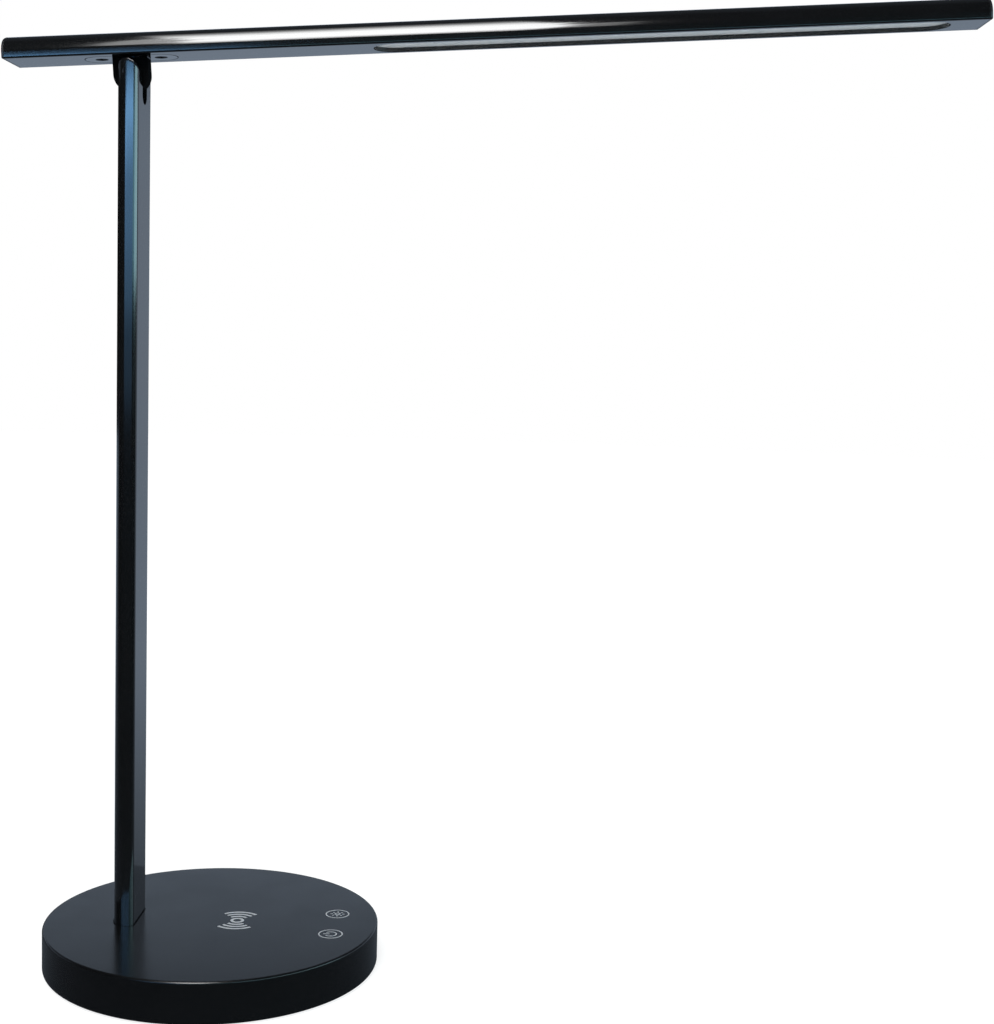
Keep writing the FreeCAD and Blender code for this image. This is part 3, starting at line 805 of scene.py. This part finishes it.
@dataclass
class KeyMarks:
    """Marks printed on the base: the charging field and the two touch keys."""

    top: float
    charge_x: float = 0.0113
    key_x: float = 0.0555
    key_y: float = 0.0131
    ink: float = 0.00003
    charge_stroke: float = 0.0013
    charge_ring: float = 0.00245
    charge_arcs: tuple[float, ...] = (0.0052, 0.008, 0.0108)
    charge_spread: float = math.radians(42)
    key_ring: float = 0.0052
    key_stroke: float = 0.00055
    sun_ring: float = 0.0011
    sun_rays: int = 8
    sun_reach: Pair = (0.0021, 0.0032)
    power_ring: float = 0.0026
    power_gap: float = math.radians(38)
    power_bar: Pair = (0.00039, 0.00325)
    steps: int = 48

    def stroke(self, skin: Skin, line: Array, width: float, closed: bool = False) -> None:
        """Band of ink: a flat section carried along a line, half its width to each side of it.

        Args:
            skin: skin that the band is added to.
            line: points of the line.
            width: width of the band.
            closed: whether the line runs back into its start.
        """
        run = np.gradient(line, axis=0)
        if closed:
            run[[0, -1]] = line[1] - line[-2]
        side = np.column_stack([-run[:, 1], run[:, 0]]) / np.hypot(*run.T)[:, None] * width / 2
        left, right = line + side, line - side
        low, high = self.top - self.ink, self.top + self.ink
        edges = ((left, low), (left, high), (right, high), (right, low))
        band = np.stack([at_height(edge, height) for edge, height in edges], axis=1)
        if not closed:
            ends = np.broadcast_to(band.mean(axis=1, keepdims=True), band.shape)
            band = np.concatenate([ends[:1], band, ends[-1:]])
        skin.add(band, wrap=True)

    def ring(self, skin: Skin, centre: Pair, radius: float, width: float) -> None:
        """Full circle of ink about a centre."""
        self.stroke(skin, arc(centre, radius, 0, FULL_TURN, 2 * self.steps), width, closed=True)

    def charge_mark(self, skin: Skin) -> None:
        """Ring with three arcs to each side of it."""
        centre = (self.charge_x, 0.0)
        self.ring(skin, centre, self.charge_ring, self.charge_stroke)
        for radius in self.charge_arcs:
            for middle in (QUARTER, -QUARTER):
                start, end = middle - self.charge_spread, middle + self.charge_spread
                self.stroke(skin, arc(centre, radius, start, end, self.steps), self.charge_stroke)

    def brightness_mark(self, skin: Skin) -> None:
        """Key ring with a small sun in it."""
        centre = (self.key_x, self.key_y)
        for radius in (self.key_ring, self.sun_ring):
            self.ring(skin, centre, radius, self.key_stroke)
        for way in unit(np.linspace(0, FULL_TURN, self.sun_rays, endpoint=False)):
            self.stroke(skin, np.array(centre) + np.outer(self.sun_reach, way), self.key_stroke)

    def power_mark(self, skin: Skin) -> None:
        """Key ring with the sign for power in it, upright for someone in front of the keys."""
        centre = (self.key_x, -self.key_y)
        self.ring(skin, centre, self.key_ring, self.key_stroke)
        start, end = math.pi + self.power_gap, 3 * math.pi - self.power_gap
        self.stroke(skin, arc(centre, self.power_ring, start, end, self.steps), self.key_stroke)
        bar = np.array(centre) + np.outer(self.power_bar, (-1.0, 0.0))
        self.stroke(skin, bar, self.key_stroke)

    def build(self) -> None:
        """Make the three marks."""
        for draw in (self.charge_mark, self.brightness_mark, self.power_mark):
            skin = Skin()
            draw(skin)
            make_piece(draw.__name__, skin, MARK_INK, Body.STAND)


@dataclass
class Post:
    """Upright extrusion with a rounded, forked top."""

    profile: DProfile = DProfile(edge_round=0.002)
    wall: float = 0.002
    slot_half: float = 0.004
    slot_depth: float = 0.0125
    top_bevel: float = 0.00015
    bevel_share: float = 0.3
    rows: int = 12
    steps: int = 12

    def __post_init__(self) -> None:
        """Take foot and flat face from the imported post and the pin's height from the hinge."""
        low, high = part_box("post_tube")
        self.foot, self.flat = low[2], high[0]
        self.middle = self.flat - self.profile.thickness / 2
        self.pin = HINGE["pos_m"][2]
        self.floor = self.pin - self.slot_depth
        self.shoulder = self.floor + self.slot_half

    def plan(self, outline: Array) -> Array:
        """Turn a profile's points to the lamp's x and y: height runs back, across stays across."""
        return np.column_stack([self.flat - outline[:, 1], outline[:, 0]])

    def crown_height(self, across: Array, inset: float) -> Array:
        """Height of the crown: its circle's centre plus the root of r squared less y squared."""
        radius = self.profile.crown_radius
        return self.profile.thickness - radius + np.sqrt((radius - inset) ** 2 - across ** 2)

    def top(self, x: Array) -> Array:
        """Height of the rounded top, a cylinder about the pin as thick as the post."""
        radius = self.profile.thickness / 2
        return self.pin + np.sqrt(np.maximum(radius ** 2 - (x - self.middle) ** 2, 0.0))

    def cheek(self, inset: float, side: int) -> Array:
        """Outline of one side of the fork: slot, flat face, edge, side, shoulder and slot again.

        Args:
            inset: distance inside the outer outline.
            side: 1 or -1 for the side it lies on.

        Returns:
            Points in the lamp's x and y.
        """
        end = math.acos(self.slot_half / (self.profile.crown_radius - inset))
        flat = np.linspace(self.slot_half, self.profile.flat_half(inset), self.steps + 1)[:-1]
        half = np.concatenate([level_line(flat, inset), self.profile.flank(inset, end)])
        return self.plan(half * (side, 1))

    def slot_lines(self, inset: float) -> tuple[Array, Array]:
        """Outlines across the slot on the flat face and on the crown.

        Args:
            inset: distance inside the outer outline.

        Returns:
            Both rows of points, each from one side of the slot to the other.
        """
        across = self.slot_half * np.sin(np.linspace(-QUARTER, QUARTER, 2 * self.steps + 1))
        crown = np.column_stack([across, self.crown_height(across, inset)])
        return self.plan(level_line(across, inset)), self.plan(crown)

    def slot_floor(self, across: Array) -> Array:
        """Height of the slot's round floor: shoulder less the root of r squared less y squared."""
        return self.shoulder - np.sqrt(np.maximum(self.slot_half ** 2 - across ** 2, 0.0))

    def side_share(self, line: Array) -> Array:
        """How much each point of an outline faces sideways, from 0 on the flat face to 1."""
        run = np.gradient(line, axis=0)
        return np.abs(run[:, 0]) / np.hypot(*run.T)

    def lift(self, skin: Skin, inset: float, bevel: float) -> None:
        """Walls of one side of the extrusion: whole below the slot, two cheeks above it.

        Args:
            skin: skin that the walls are added to.
            inset: distance inside the outer outline.
            bevel: how far the cheeks' sides stop below the rounded top.
        """
        walls = [(line, (self.foot, self.floor, self.slot_floor(line[:, 1])))
                 for line in self.slot_lines(inset)]
        for side in SIDES:
            line = self.cheek(inset, side)
            end = self.top(line[:, 0]) - bevel * self.side_share(line)
            walls.append((line, (self.foot, self.floor, self.shoulder, end)))
        for line, levels in walls:
            for number, (low, high) in enumerate(zip(levels, levels[1:])):
                rows = self.rows if number else 1
                skin.add(ruled(at_height(line, low), at_height(line, high), rows))

    def shell(self) -> Skin:
        """Outer and inner walls, joined at the foot, round the slot and over the top.

        Returns:
            Closed skin of the extrusion.
        """
        skin = Skin()
        self.lift(skin, 0.0, self.top_bevel)
        self.lift(skin, self.wall, 0.0)
        for outer, inner in zip(self.slot_lines(0.0), self.slot_lines(self.wall)):
            for level in (self.slot_floor(outer[:, 1]), self.foot):
                skin.add(ruled(at_height(outer, level), at_height(inner, level)))
        for side in SIDES:
            outer, inner = self.cheek(0.0, side), self.cheek(self.wall, side)
            skin.add(ruled(at_height(outer, self.foot), at_height(inner, self.foot)))
            skin.add(self.cap(outer, inner))
            for end in (0, -1):
                drop = self.top_bevel * self.side_share(outer)[end]
                skin.add(ruled(self.slot_edge(outer[end], drop), self.slot_edge(inner[end], 0.0)))
        return skin

    def slot_edge(self, point: Array, drop: float) -> Array:
        """Upright row of points from the slot's shoulder to a drop below the rounded top."""
        heights = np.linspace(self.shoulder, self.top(point[0]) - drop, self.rows + 1)
        return at_height(np.tile(point, (self.rows + 1, 1)), heights)

    def cap(self, outer: Array, inner: Array) -> Array:
        """Rounded end of a cheek between its outlines, with a small bevel along the outer one.

        Args:
            outer: outline of the outer wall.
            inner: outline of the inner wall.

        Returns:
            Grid whose heights follow the cylinder about the pin.
        """
        bevel = self.top_bevel / self.wall
        rest = np.linspace(bevel, 1.0, self.steps + 1)
        share = np.concatenate([[0.0, self.bevel_share * bevel], rest])[:, None, None]
        drop = np.concatenate([[1.0, self.bevel_share], np.zeros(len(rest))]) * self.top_bevel
        line = (1 - share) * outer + share * inner
        height = self.top(line[..., 0]) - drop[:, None] * self.side_share(outer)
        return np.concatenate([line, height[..., None]], axis=-1)

    def build(self) -> None:
        """Make the extrusion."""
        make_piece("post_shell", self.shell(), ANODISED_POST, Body.STAND, "post_tube")

    def dress(self) -> None:
        """Finish the pieces inside the post and its fork."""
        dress_nodes({"foot_block": INSERT_ALLOY, "post_screws": SCREW_BLACK, "lamp_lead": SLEEVE,
                     "hinge_block": INSERT_ALLOY, "hinge_pin": DARK_STEEL,
                     "friction_washers": WASHER})


@dataclass
class Arm:
    """Light arm: extrusion with window and knuckle pocket, end caps, opal strip and screws."""

    profile: DProfile = DProfile(edge_round=0.0008, shoulder_round=0.0068)
    wall: float = 0.002
    drop: float = 0.007
    tail: float = 0.0517
    reach: float = 0.3653
    frame_reach: float = 0.014
    pocket_half: float = 0.0125
    pocket_radius: float = 0.0077
    window_start: float = 0.115
    window_end: float = 0.3415
    window_radius: float = 0.01
    lip: float = 0.00025
    strip_gap: float = 0.00015
    strip_lap: float = 0.006
    strip_recess: float = 0.0018
    strip_thickness: float = 0.0015
    cap_thickness: float = 0.0012
    cap_round: float = 0.0005
    cap_seam: float = 0.00015
    cap_steps: int = 8
    screw_x: float = 0.01285
    screw_head: float = 0.0028
    screw_shank: float = 0.0015
    screw_end: float = 0.0116
    screw_around: int = 128
    screw_rings: int = 32
    cross_half: float = 0.0021
    cross_width: float = 0.0011
    cross_depth: float = 0.0009
    cross_slope: float = 0.25
    steps: int = 6

    def __post_init__(self) -> None:
        """Work out the two openings in the underside."""
        corner = math.atan2(self.profile.flat_half(0.0), self.frame_reach)
        half, start, end = self.pocket_half, self.window_start, self.window_end
        self.pocket = RoundOpening(-half, half, self.pocket_radius, corner)
        self.window = RoundOpening(start, end, self.window_radius, corner)

    def section(self, outline: Array, x: float) -> Array:
        """Stand an outline across the arm at a distance along it."""
        return np.column_stack([np.full(len(outline), x), outline + (0.0, self.drop)])

    def underside(self, opening: RoundOpening) -> Array:
        """Flat wall round an opening: outer frame, rounded lip, side and inner frame.

        Args:
            opening: the opening.

        Returns:
            Closed grid from the outer frame to the inner one.
        """
        inner = self.drop + self.wall
        lip = self.lip * (1 - unit(np.linspace(0, QUARTER, self.steps + 1)))
        return np.stack([at_height(opening.frame(self.profile.flat_half(0.0)), self.drop),
                         *(at_height(opening.hole(out), self.drop + up) for up, out in lip),
                         at_height(opening.hole(), inner),
                         at_height(opening.frame(self.profile.flat_half(self.wall)), inner)])

    def walls(self, skin: Skin, inset: float) -> Array:
        """Sides and crown, carried along the arm, and the plain stretches of the flat wall.

        Args:
            skin: skin that the walls are added to.
            inset: distance inside the outer outline.

        Returns:
            Closed outline of the wall at the arm's ends.
        """
        half = self.profile.flat_half(inset)
        frames = [opening.frame(half) for opening in (self.pocket, self.window)]
        edges = [np.unique(box[np.isclose(box[:, 1], half), 0].round(PLACES)) for box in frames]
        rim, flat = self.profile.rim(inset), level_line(self.pocket.face_points(half), inset)
        stations = (-self.tail, *edges[0], *edges[1], self.reach)
        skin.add(np.stack([self.section(rim, x) for x in stations]))
        stops = [-self.tail, *edges[0][[0, -1]], *edges[1][[0, -1]], self.reach]
        for start, end in zip(stops[::2], stops[1::2]):
            skin.add(np.stack([self.section(flat, x) for x in (start, end)]))
        return np.concatenate([flat, rim[1:-1]])

    def shell(self) -> Skin:
        """Outer and inner walls, joined in the openings and at both ends.

        Returns:
            Closed skin of the extrusion.
        """
        skin = Skin()
        outer, inner = self.walls(skin, 0.0), self.walls(skin, self.wall)
        for opening in (self.pocket, self.window):
            skin.add(self.underside(opening), wrap=True)
        for x in (-self.tail, self.reach):
            skin.add(ruled(self.section(outer, x), self.section(inner, x)), wrap=True)
        return skin

    def strip(self) -> Skin:
        """Opal strip: a step with round ends that fills the window, under a plain strip.

        Returns:
            Closed skin, its rows carried from the spine over step and strip to the spine again.
        """
        half = self.window_radius - self.strip_gap
        corner = math.atan2(half, self.window_radius + self.strip_lap)
        opening = RoundOpening(self.window_start, self.window_end, half, corner)
        spine = opening.outline(np.zeros(len(opening.angles)))
        step, plain = opening.hole(), opening.frame(half)
        low, inner = self.drop + self.strip_recess, self.drop + self.wall
        high = inner + self.strip_thickness
        rows = ((spine, low), (step, low), (step, inner), (plain, inner), (plain, high),
                (spine, high))
        skin = Skin()
        skin.add(np.stack([at_height(line, height) for line, height in rows]), wrap=True)
        return skin

    def cap(self, face: float, way: int) -> Skin:
        """End cap: the profile's outline, chamfered at the seam, rounded at the rim and closed.

        Args:
            face: distance along the arm of the tube's end.
            way: 1 or -1 for the way the cap points.

        Returns:
            Closed skin of the cap.
        """
        bend = self.cap_round * (1 - unit(np.linspace(0, QUARTER, self.steps + 1)))
        rows = ((self.cap_seam, 0.0), (0.0, self.cap_seam),
                *((inset, self.cap_thickness - back) for inset, back in bend))
        rings = [self.section(self.profile.loop(inset, self.cap_steps), face + way * out)
                 for inset, out in rows]
        skin = Skin()
        skin.add(np.stack(rings), wrap=True)
        for ring in (rings[0], rings[-1]):
            middle = np.broadcast_to(ring.mean(axis=0), ring.shape)
            skin.add(ruled(ring, middle, self.steps), wrap=True)
        return skin

    def screw(self, skin: Skin, x: float) -> None:
        """Countersunk screw: a disc sunk by a cross, then a cone and a shank about its axis.

        Args:
            skin: skin that the screw is added to.
            x: distance of the screw along the arm.
        """
        way = unit(np.linspace(0, FULL_TURN, self.screw_around, endpoint=False))
        radius = np.linspace(0, self.screw_head, self.screw_rings + 1)[:, None]
        along, across = radius * way[:, 0], radius * way[:, 1]
        half, edge = self.cross_width / 2, self.cross_width * self.cross_slope
        bars = [np.clip((half - np.abs(thin)) / edge, 0, 1)
                * np.clip((self.cross_half - np.abs(wide)) / edge, 0, 1)
                for thin, wide in ((along, across), (across, along))]
        depth = self.cross_depth * np.maximum(*bars)
        skin.add(np.stack([x + along, across, self.drop + depth], axis=-1), wrap=True)
        cone = self.drop + self.screw_head - self.screw_shank
        rows = ((self.screw_head, self.drop), (self.screw_shank, cone),
                (self.screw_shank, self.screw_end), (0.0, self.screw_end))
        skin.add(np.stack([at_height((x, 0.0) + r * way, z) for r, z in rows]), wrap=True)

    def build(self) -> None:
        """Make the extrusion, both caps, the opal strip and the screws."""
        make_piece("arm_shell", self.shell(), ANODISED_ARM, Body.ARM, "arm_tube")
        for name, face, way in (("front_cap", self.reach, 1), ("tail_cap", -self.tail, -1)):
            make_piece(f"arm_{name}", self.cap(face, way), CAP_BLACK, Body.ARM, name)
        make_piece("diffuser_strip", self.strip(), OPAL, Body.ARM, "diffuser")
        screws = Skin()
        for x in (-self.screw_x, self.screw_x):
            self.screw(screws, x)
        make_piece("hinge_screws", screws, SUNK_BLACK, Body.ARM, "knuckle_screws")

    def dress(self) -> None:
        """Finish the light, the knuckle and the pieces inside the arm."""
        dress_nodes({"hinge_knuckle": KNUCKLE_BLACK, "arm_insert": INSERT_ALLOY,
                     "led_board": LED_PANEL, "led_chips": LED_LENS, "arm_lead": SLEEVE})


# Stage


@dataclass(frozen=True)
class SoftBox:
    """Rectangular soft light."""

    name: str
    place: Triple
    aim: Triple
    size: Pair
    radiance: float
    colour: Triple = (1.0, 1.0, 1.0)

    def build(self) -> None:
        """Hang the light: its power is its radiance times its area times pi."""
        light = bpy.data.lights.new(self.name, "AREA")
        light.shape = "RECTANGLE"
        light.size, light.size_y = self.size
        light.energy = self.radiance * math.pi * self.size[0] * self.size[1]
        light.color = self.colour
        lamp = bpy.data.objects.new(self.name, light)
        lamp.location = self.place
        way = Vector(self.aim) - Vector(self.place)
        lamp.rotation_euler = way.to_track_quat("-Z", "Y").to_euler()
        bpy.context.scene.collection.objects.link(lamp)
        LOG.info("light %s", self.name)


@dataclass(frozen=True)
class Canopy:
    """Soft strips on an arc over the arm: lower and upper degree, left, right and radiance."""

    height: float = 0.42
    radius: float = 1.2
    strips: tuple[tuple[float, float, float, float, float], ...] = (
        (16.0, 21.0, -0.285, 0.113, 5.0),
        (21.0, 27.0, -0.29, 0.123, 9.5),
        (27.0, 45.0, -0.3, 0.133, 12.8),
        (45.0, 60.0, -0.32, 0.113, 12.3),
        (60.0, 68.0, -0.35, 0.088, 9.8),
        (68.0, 76.0, -0.36, 0.073, 7.2),
        (76.0, 84.0, -0.37, 0.063, 4.0),
        (84.0, 92.0, -0.38, 0.053, 1.8),
        (92.0, 100.0, -0.38, 0.043, 0.6),
        (24.0, 48.0, 0.133, 0.2, 1.6),
        (24.0, 60.0, -0.4, -0.31, 3.0),
    )

    def build(self) -> None:
        """Hang one soft light for each strip, square to the line from the arm."""
        for number, (low, high, left, right, radiance) in enumerate(self.strips):
            middle, half = math.radians((low + high) / 2), math.radians((high - low) / 2)
            across, away = (left + right) / 2, -self.radius * math.cos(middle)
            place = (across, away, self.height + self.radius * math.sin(middle))
            size = (right - left, 2 * self.radius * math.tan(half))
            SoftBox(f"canopy_{number}", place, (across, 0.0, self.height), size, radiance).build()


@dataclass(frozen=True)
class Window:
    """Blue window in front of the lamp, in bands: lower edge, upper edge and radiance."""

    left: float = -1.2
    right: float = -0.25
    distance: float = 1.6
    colour: Triple = (0.24, 0.56, 1.0)
    bands: tuple[Triple, ...] = (
        (0.565, 0.635, 7.8),
        (0.515, 0.565, 4.2),
        (0.465, 0.515, 2.1),
        (0.4, 0.465, 2.4),
        (0.315, 0.4, 1.5),
        (0.185, 0.315, 0.45),
    )

    def build(self) -> None:
        """Hang one soft light for each band."""
        across = (self.left + self.right) / 2
        for number, (low, high, radiance) in enumerate(self.bands):
            level, size = (low + high) / 2, (self.right - self.left, high - low)
            SoftBox(f"window_{number}", (across, -self.distance, level), (across, 0.0, level),
                    size, radiance, self.colour).build()


@dataclass(frozen=True)
class PhotoCamera:
    """Camera at the photograph's place and angle, which were fitted to the lamp's outlines."""

    place: Triple = (0.14025, -0.73332, 0.28497)
    yaw: float = -0.02182
    pitch: float = -0.10232
    roll: float = 0.02829
    lens: float = 58.645
    sensor: float = 36.0

    def build(self) -> None:
        """Set the camera up from its three angles."""
        camera = bpy.data.cameras.new("photo_camera")
        camera.lens, camera.sensor_width = self.lens, self.sensor
        holder = bpy.data.objects.new("photo_camera", camera)
        level = Vector((math.cos(self.yaw), -math.sin(self.yaw), 0.0))
        front = Vector((math.sin(self.yaw), math.cos(self.yaw), 0.0))
        ahead = math.cos(self.pitch) * front + math.sin(self.pitch) * Vector((0.0, 0.0, 1.0))
        above = level.cross(ahead)
        right = math.cos(self.roll) * level + math.sin(self.roll) * above
        up = math.cos(self.roll) * above - math.sin(self.roll) * level
        turn = Matrix((right, up, -ahead)).transposed().to_4x4()
        holder.matrix_world = Matrix.Translation(self.place) @ turn
        bpy.context.scene.collection.objects.link(holder)
        bpy.context.scene.camera = holder


@dataclass(frozen=True)
class Stage:
    """Pale floor, white surroundings behind the lamp, soft lights and the camera."""

    floor_rings: Triple = (0.0, 0.5, 4.0)
    floor_sides: int = 96
    floor_shade: float = 0.25
    floor_grain: Pair = (0.96, 1.04)
    grain_scale: float = 30.0
    grain_detail: float = 2.0
    floor_gloss: float = 0.05
    floor_bounce: float = 0.8
    floor_glow: float = 0.85
    glow_span: Pair = (0.3, 1.1)
    paper_span: Pair = (-0.3, 0.8)
    ambient: float = 0.15
    front_gloss: float = 0.012
    back_gloss: Triple = (0.34, 0.415, 0.52)
    behind_span: Pair = (-0.1, 0.3)
    low_span: Pair = (0.03, 0.12)
    low_slope: float = 0.4
    haze: float = 1.8
    haze_rise: Pair = (0.16, 0.3)
    haze_fall: Pair = (0.29, 0.4)
    haze_rest: float = 0.05
    white: tuple[float, float, float, float] = (1.0, 1.0, 1.0, 1.0)
    lights: tuple[SoftBox, ...] = (
        SoftBox("room_front", (0.275, -1.6, 0.48), (0.275, 0.0, 0.48), (1.05, 0.25), 2.2,
                (0.35, 0.8, 1.0)),
        SoftBox("room_corner", (1.2, -1.6, 0.55), (1.2, 0.0, 0.55), (0.8, 0.4), 4.4,
                (0.45, 0.85, 1.0)),
        SoftBox("room_right", (1.6, -0.6, 0.55), (0.0, -0.6, 0.55), (2.0, 0.4), 4.4,
                (0.55, 0.9, 1.0)),
    )
    canopy: Canopy = Canopy()
    window: Window = Window()

    def rays(self, graph: Graph) -> tuple[Socket, Socket, Socket]:
        """Which rays ask, as 1 for each kind and 0 for others.

        Args:
            graph: node tree that asks.

        Returns:
            Sockets for the camera's rays, for glossy and clear ones, and for matt ones.
        """
        path = graph.add("ShaderNodeLightPath").outputs
        shiny = graph.math("MAXIMUM", path["Is Glossy Ray"], path["Is Transmission Ray"])
        return path["Is Camera Ray"], shiny, path["Is Diffuse Ray"]

    def build_world(self) -> None:
        """White for the camera; for gloss a room that is pale behind the lamp, dark elsewhere."""
        world = bpy.data.worlds.new("studio")
        world.use_nodes = True
        graph = Graph(world.node_tree)
        way = graph.add("ShaderNodeSeparateXYZ", Vector=graph.place("Generated"))
        x, y, z = (way.outputs[axis] for axis in "XYZ")
        camera, shiny, _ = self.rays(graph)
        behind = graph.ramp(y, self.behind_span, smooth=True)
        slanted = graph.math("SUBTRACT", z, graph.math("MULTIPLY", x, self.low_slope))
        low = graph.ramp(slanted, self.low_span, (1.0, 0.0), smooth=True)
        rise = graph.ramp(z, self.haze_rise, (0.0, self.haze), smooth=True)
        fall = graph.ramp(z, self.haze_fall, (1.0, self.haze_rest), smooth=True)
        haze = graph.math("MULTIPLY", rise, fall)
        pale = graph.math("MULTIPLY", behind, graph.math("MAXIMUM", low, haze))
        dim = graph.ramp(shiny, WHOLE, (self.ambient, self.front_gloss))
        plain = graph.add("ShaderNodeBackground", Color=self.white,
                          Strength=graph.math("MAXIMUM", camera, dim))
        paper = graph.add("ShaderNodeBackground", Color=(*self.back_gloss, 1.0),
                          Strength=graph.math("MULTIPLY", pale, shiny))
        both = graph.add("ShaderNodeAddShader", i0=plain.outputs[0], i1=paper.outputs[0])
        graph.add("ShaderNodeOutputWorld", Surface=both.outputs[0])
        bpy.context.scene.world = world

    def floor_material(self) -> bpy.types.Material:
        """Matt pale floor that keeps its shadow, white for the camera, dark in front for gloss."""
        material = bpy.data.materials.new("pale_floor")
        material.use_nodes = True
        graph = Graph(material.node_tree)
        place = graph.place()
        camera, shiny, bounced = self.rays(graph)
        grain = tuple(share * self.floor_shade for share in self.floor_grain)
        level = graph.ramp(graph.noise(place, self.grain_scale, self.grain_detail), WHOLE, grain)
        seen = graph.math("MULTIPLY", level, graph.ramp(shiny, WHOLE, (1.0, self.floor_gloss)))
        bounce = graph.math("MULTIPLY", bounced, self.floor_bounce)
        matt = graph.add("ShaderNodeBsdfDiffuse", Color=graph.math("MAXIMUM", seen, bounce))
        away = graph.vector("LENGTH", i0=place).outputs["Value"]
        near = graph.ramp(away, self.glow_span, (self.floor_glow, 1.0), smooth=True)
        lift = graph.add("ShaderNodeEmission", Strength=graph.math("MULTIPLY", camera, near))
        y = graph.add("ShaderNodeSeparateXYZ", Vector=place).outputs["Y"]
        pale = graph.math("MULTIPLY", shiny, graph.ramp(y, self.paper_span, smooth=True))
        paper = graph.add("ShaderNodeEmission", Color=(*self.back_gloss, 1.0), Strength=pale)
        glow = graph.add("ShaderNodeAddShader", i0=lift.outputs[0], i1=paper.outputs[0])
        both = graph.add("ShaderNodeAddShader", i0=matt.outputs[0], i1=glow.outputs[0])
        graph.add("ShaderNodeOutputMaterial", Surface=both.outputs[0])
        return material

    def build_floor(self) -> None:
        """Round floor: rings of points about the origin."""
        way = unit(np.linspace(0, FULL_TURN, self.floor_sides, endpoint=False))
        skin = Skin()
        skin.add(np.stack([at_height(radius * way, 0.0) for radius in self.floor_rings]), wrap=True)
        mesh = skin.mesh("floor")
        mesh.materials.append(self.floor_material())
        floor = bpy.data.objects.new("floor", mesh)
        bpy.context.scene.collection.objects.link(floor)

    def build(self) -> None:
        """Set up floor, surroundings, lights and camera."""
        self.build_floor()
        self.build_world()
        for light in (*self.lights, self.canopy, self.window):
            light.build()
        PhotoCamera().build()
        bpy.context.scene.view_settings.view_transform = "Standard"


def main() -> None:
    """Build the lamp's assemblies in order, then the stage around them."""
    logging.basicConfig(level=logging.INFO, format="%(name)s: %(message)s")
    post = Post()
    base = Base(post)
    for assembly in (base, post, Arm()):
        assembly.build()
        assembly.dress()
    KeyMarks(base.top).build()
    Stage().build()


if __name__ == "__main__":
    main()
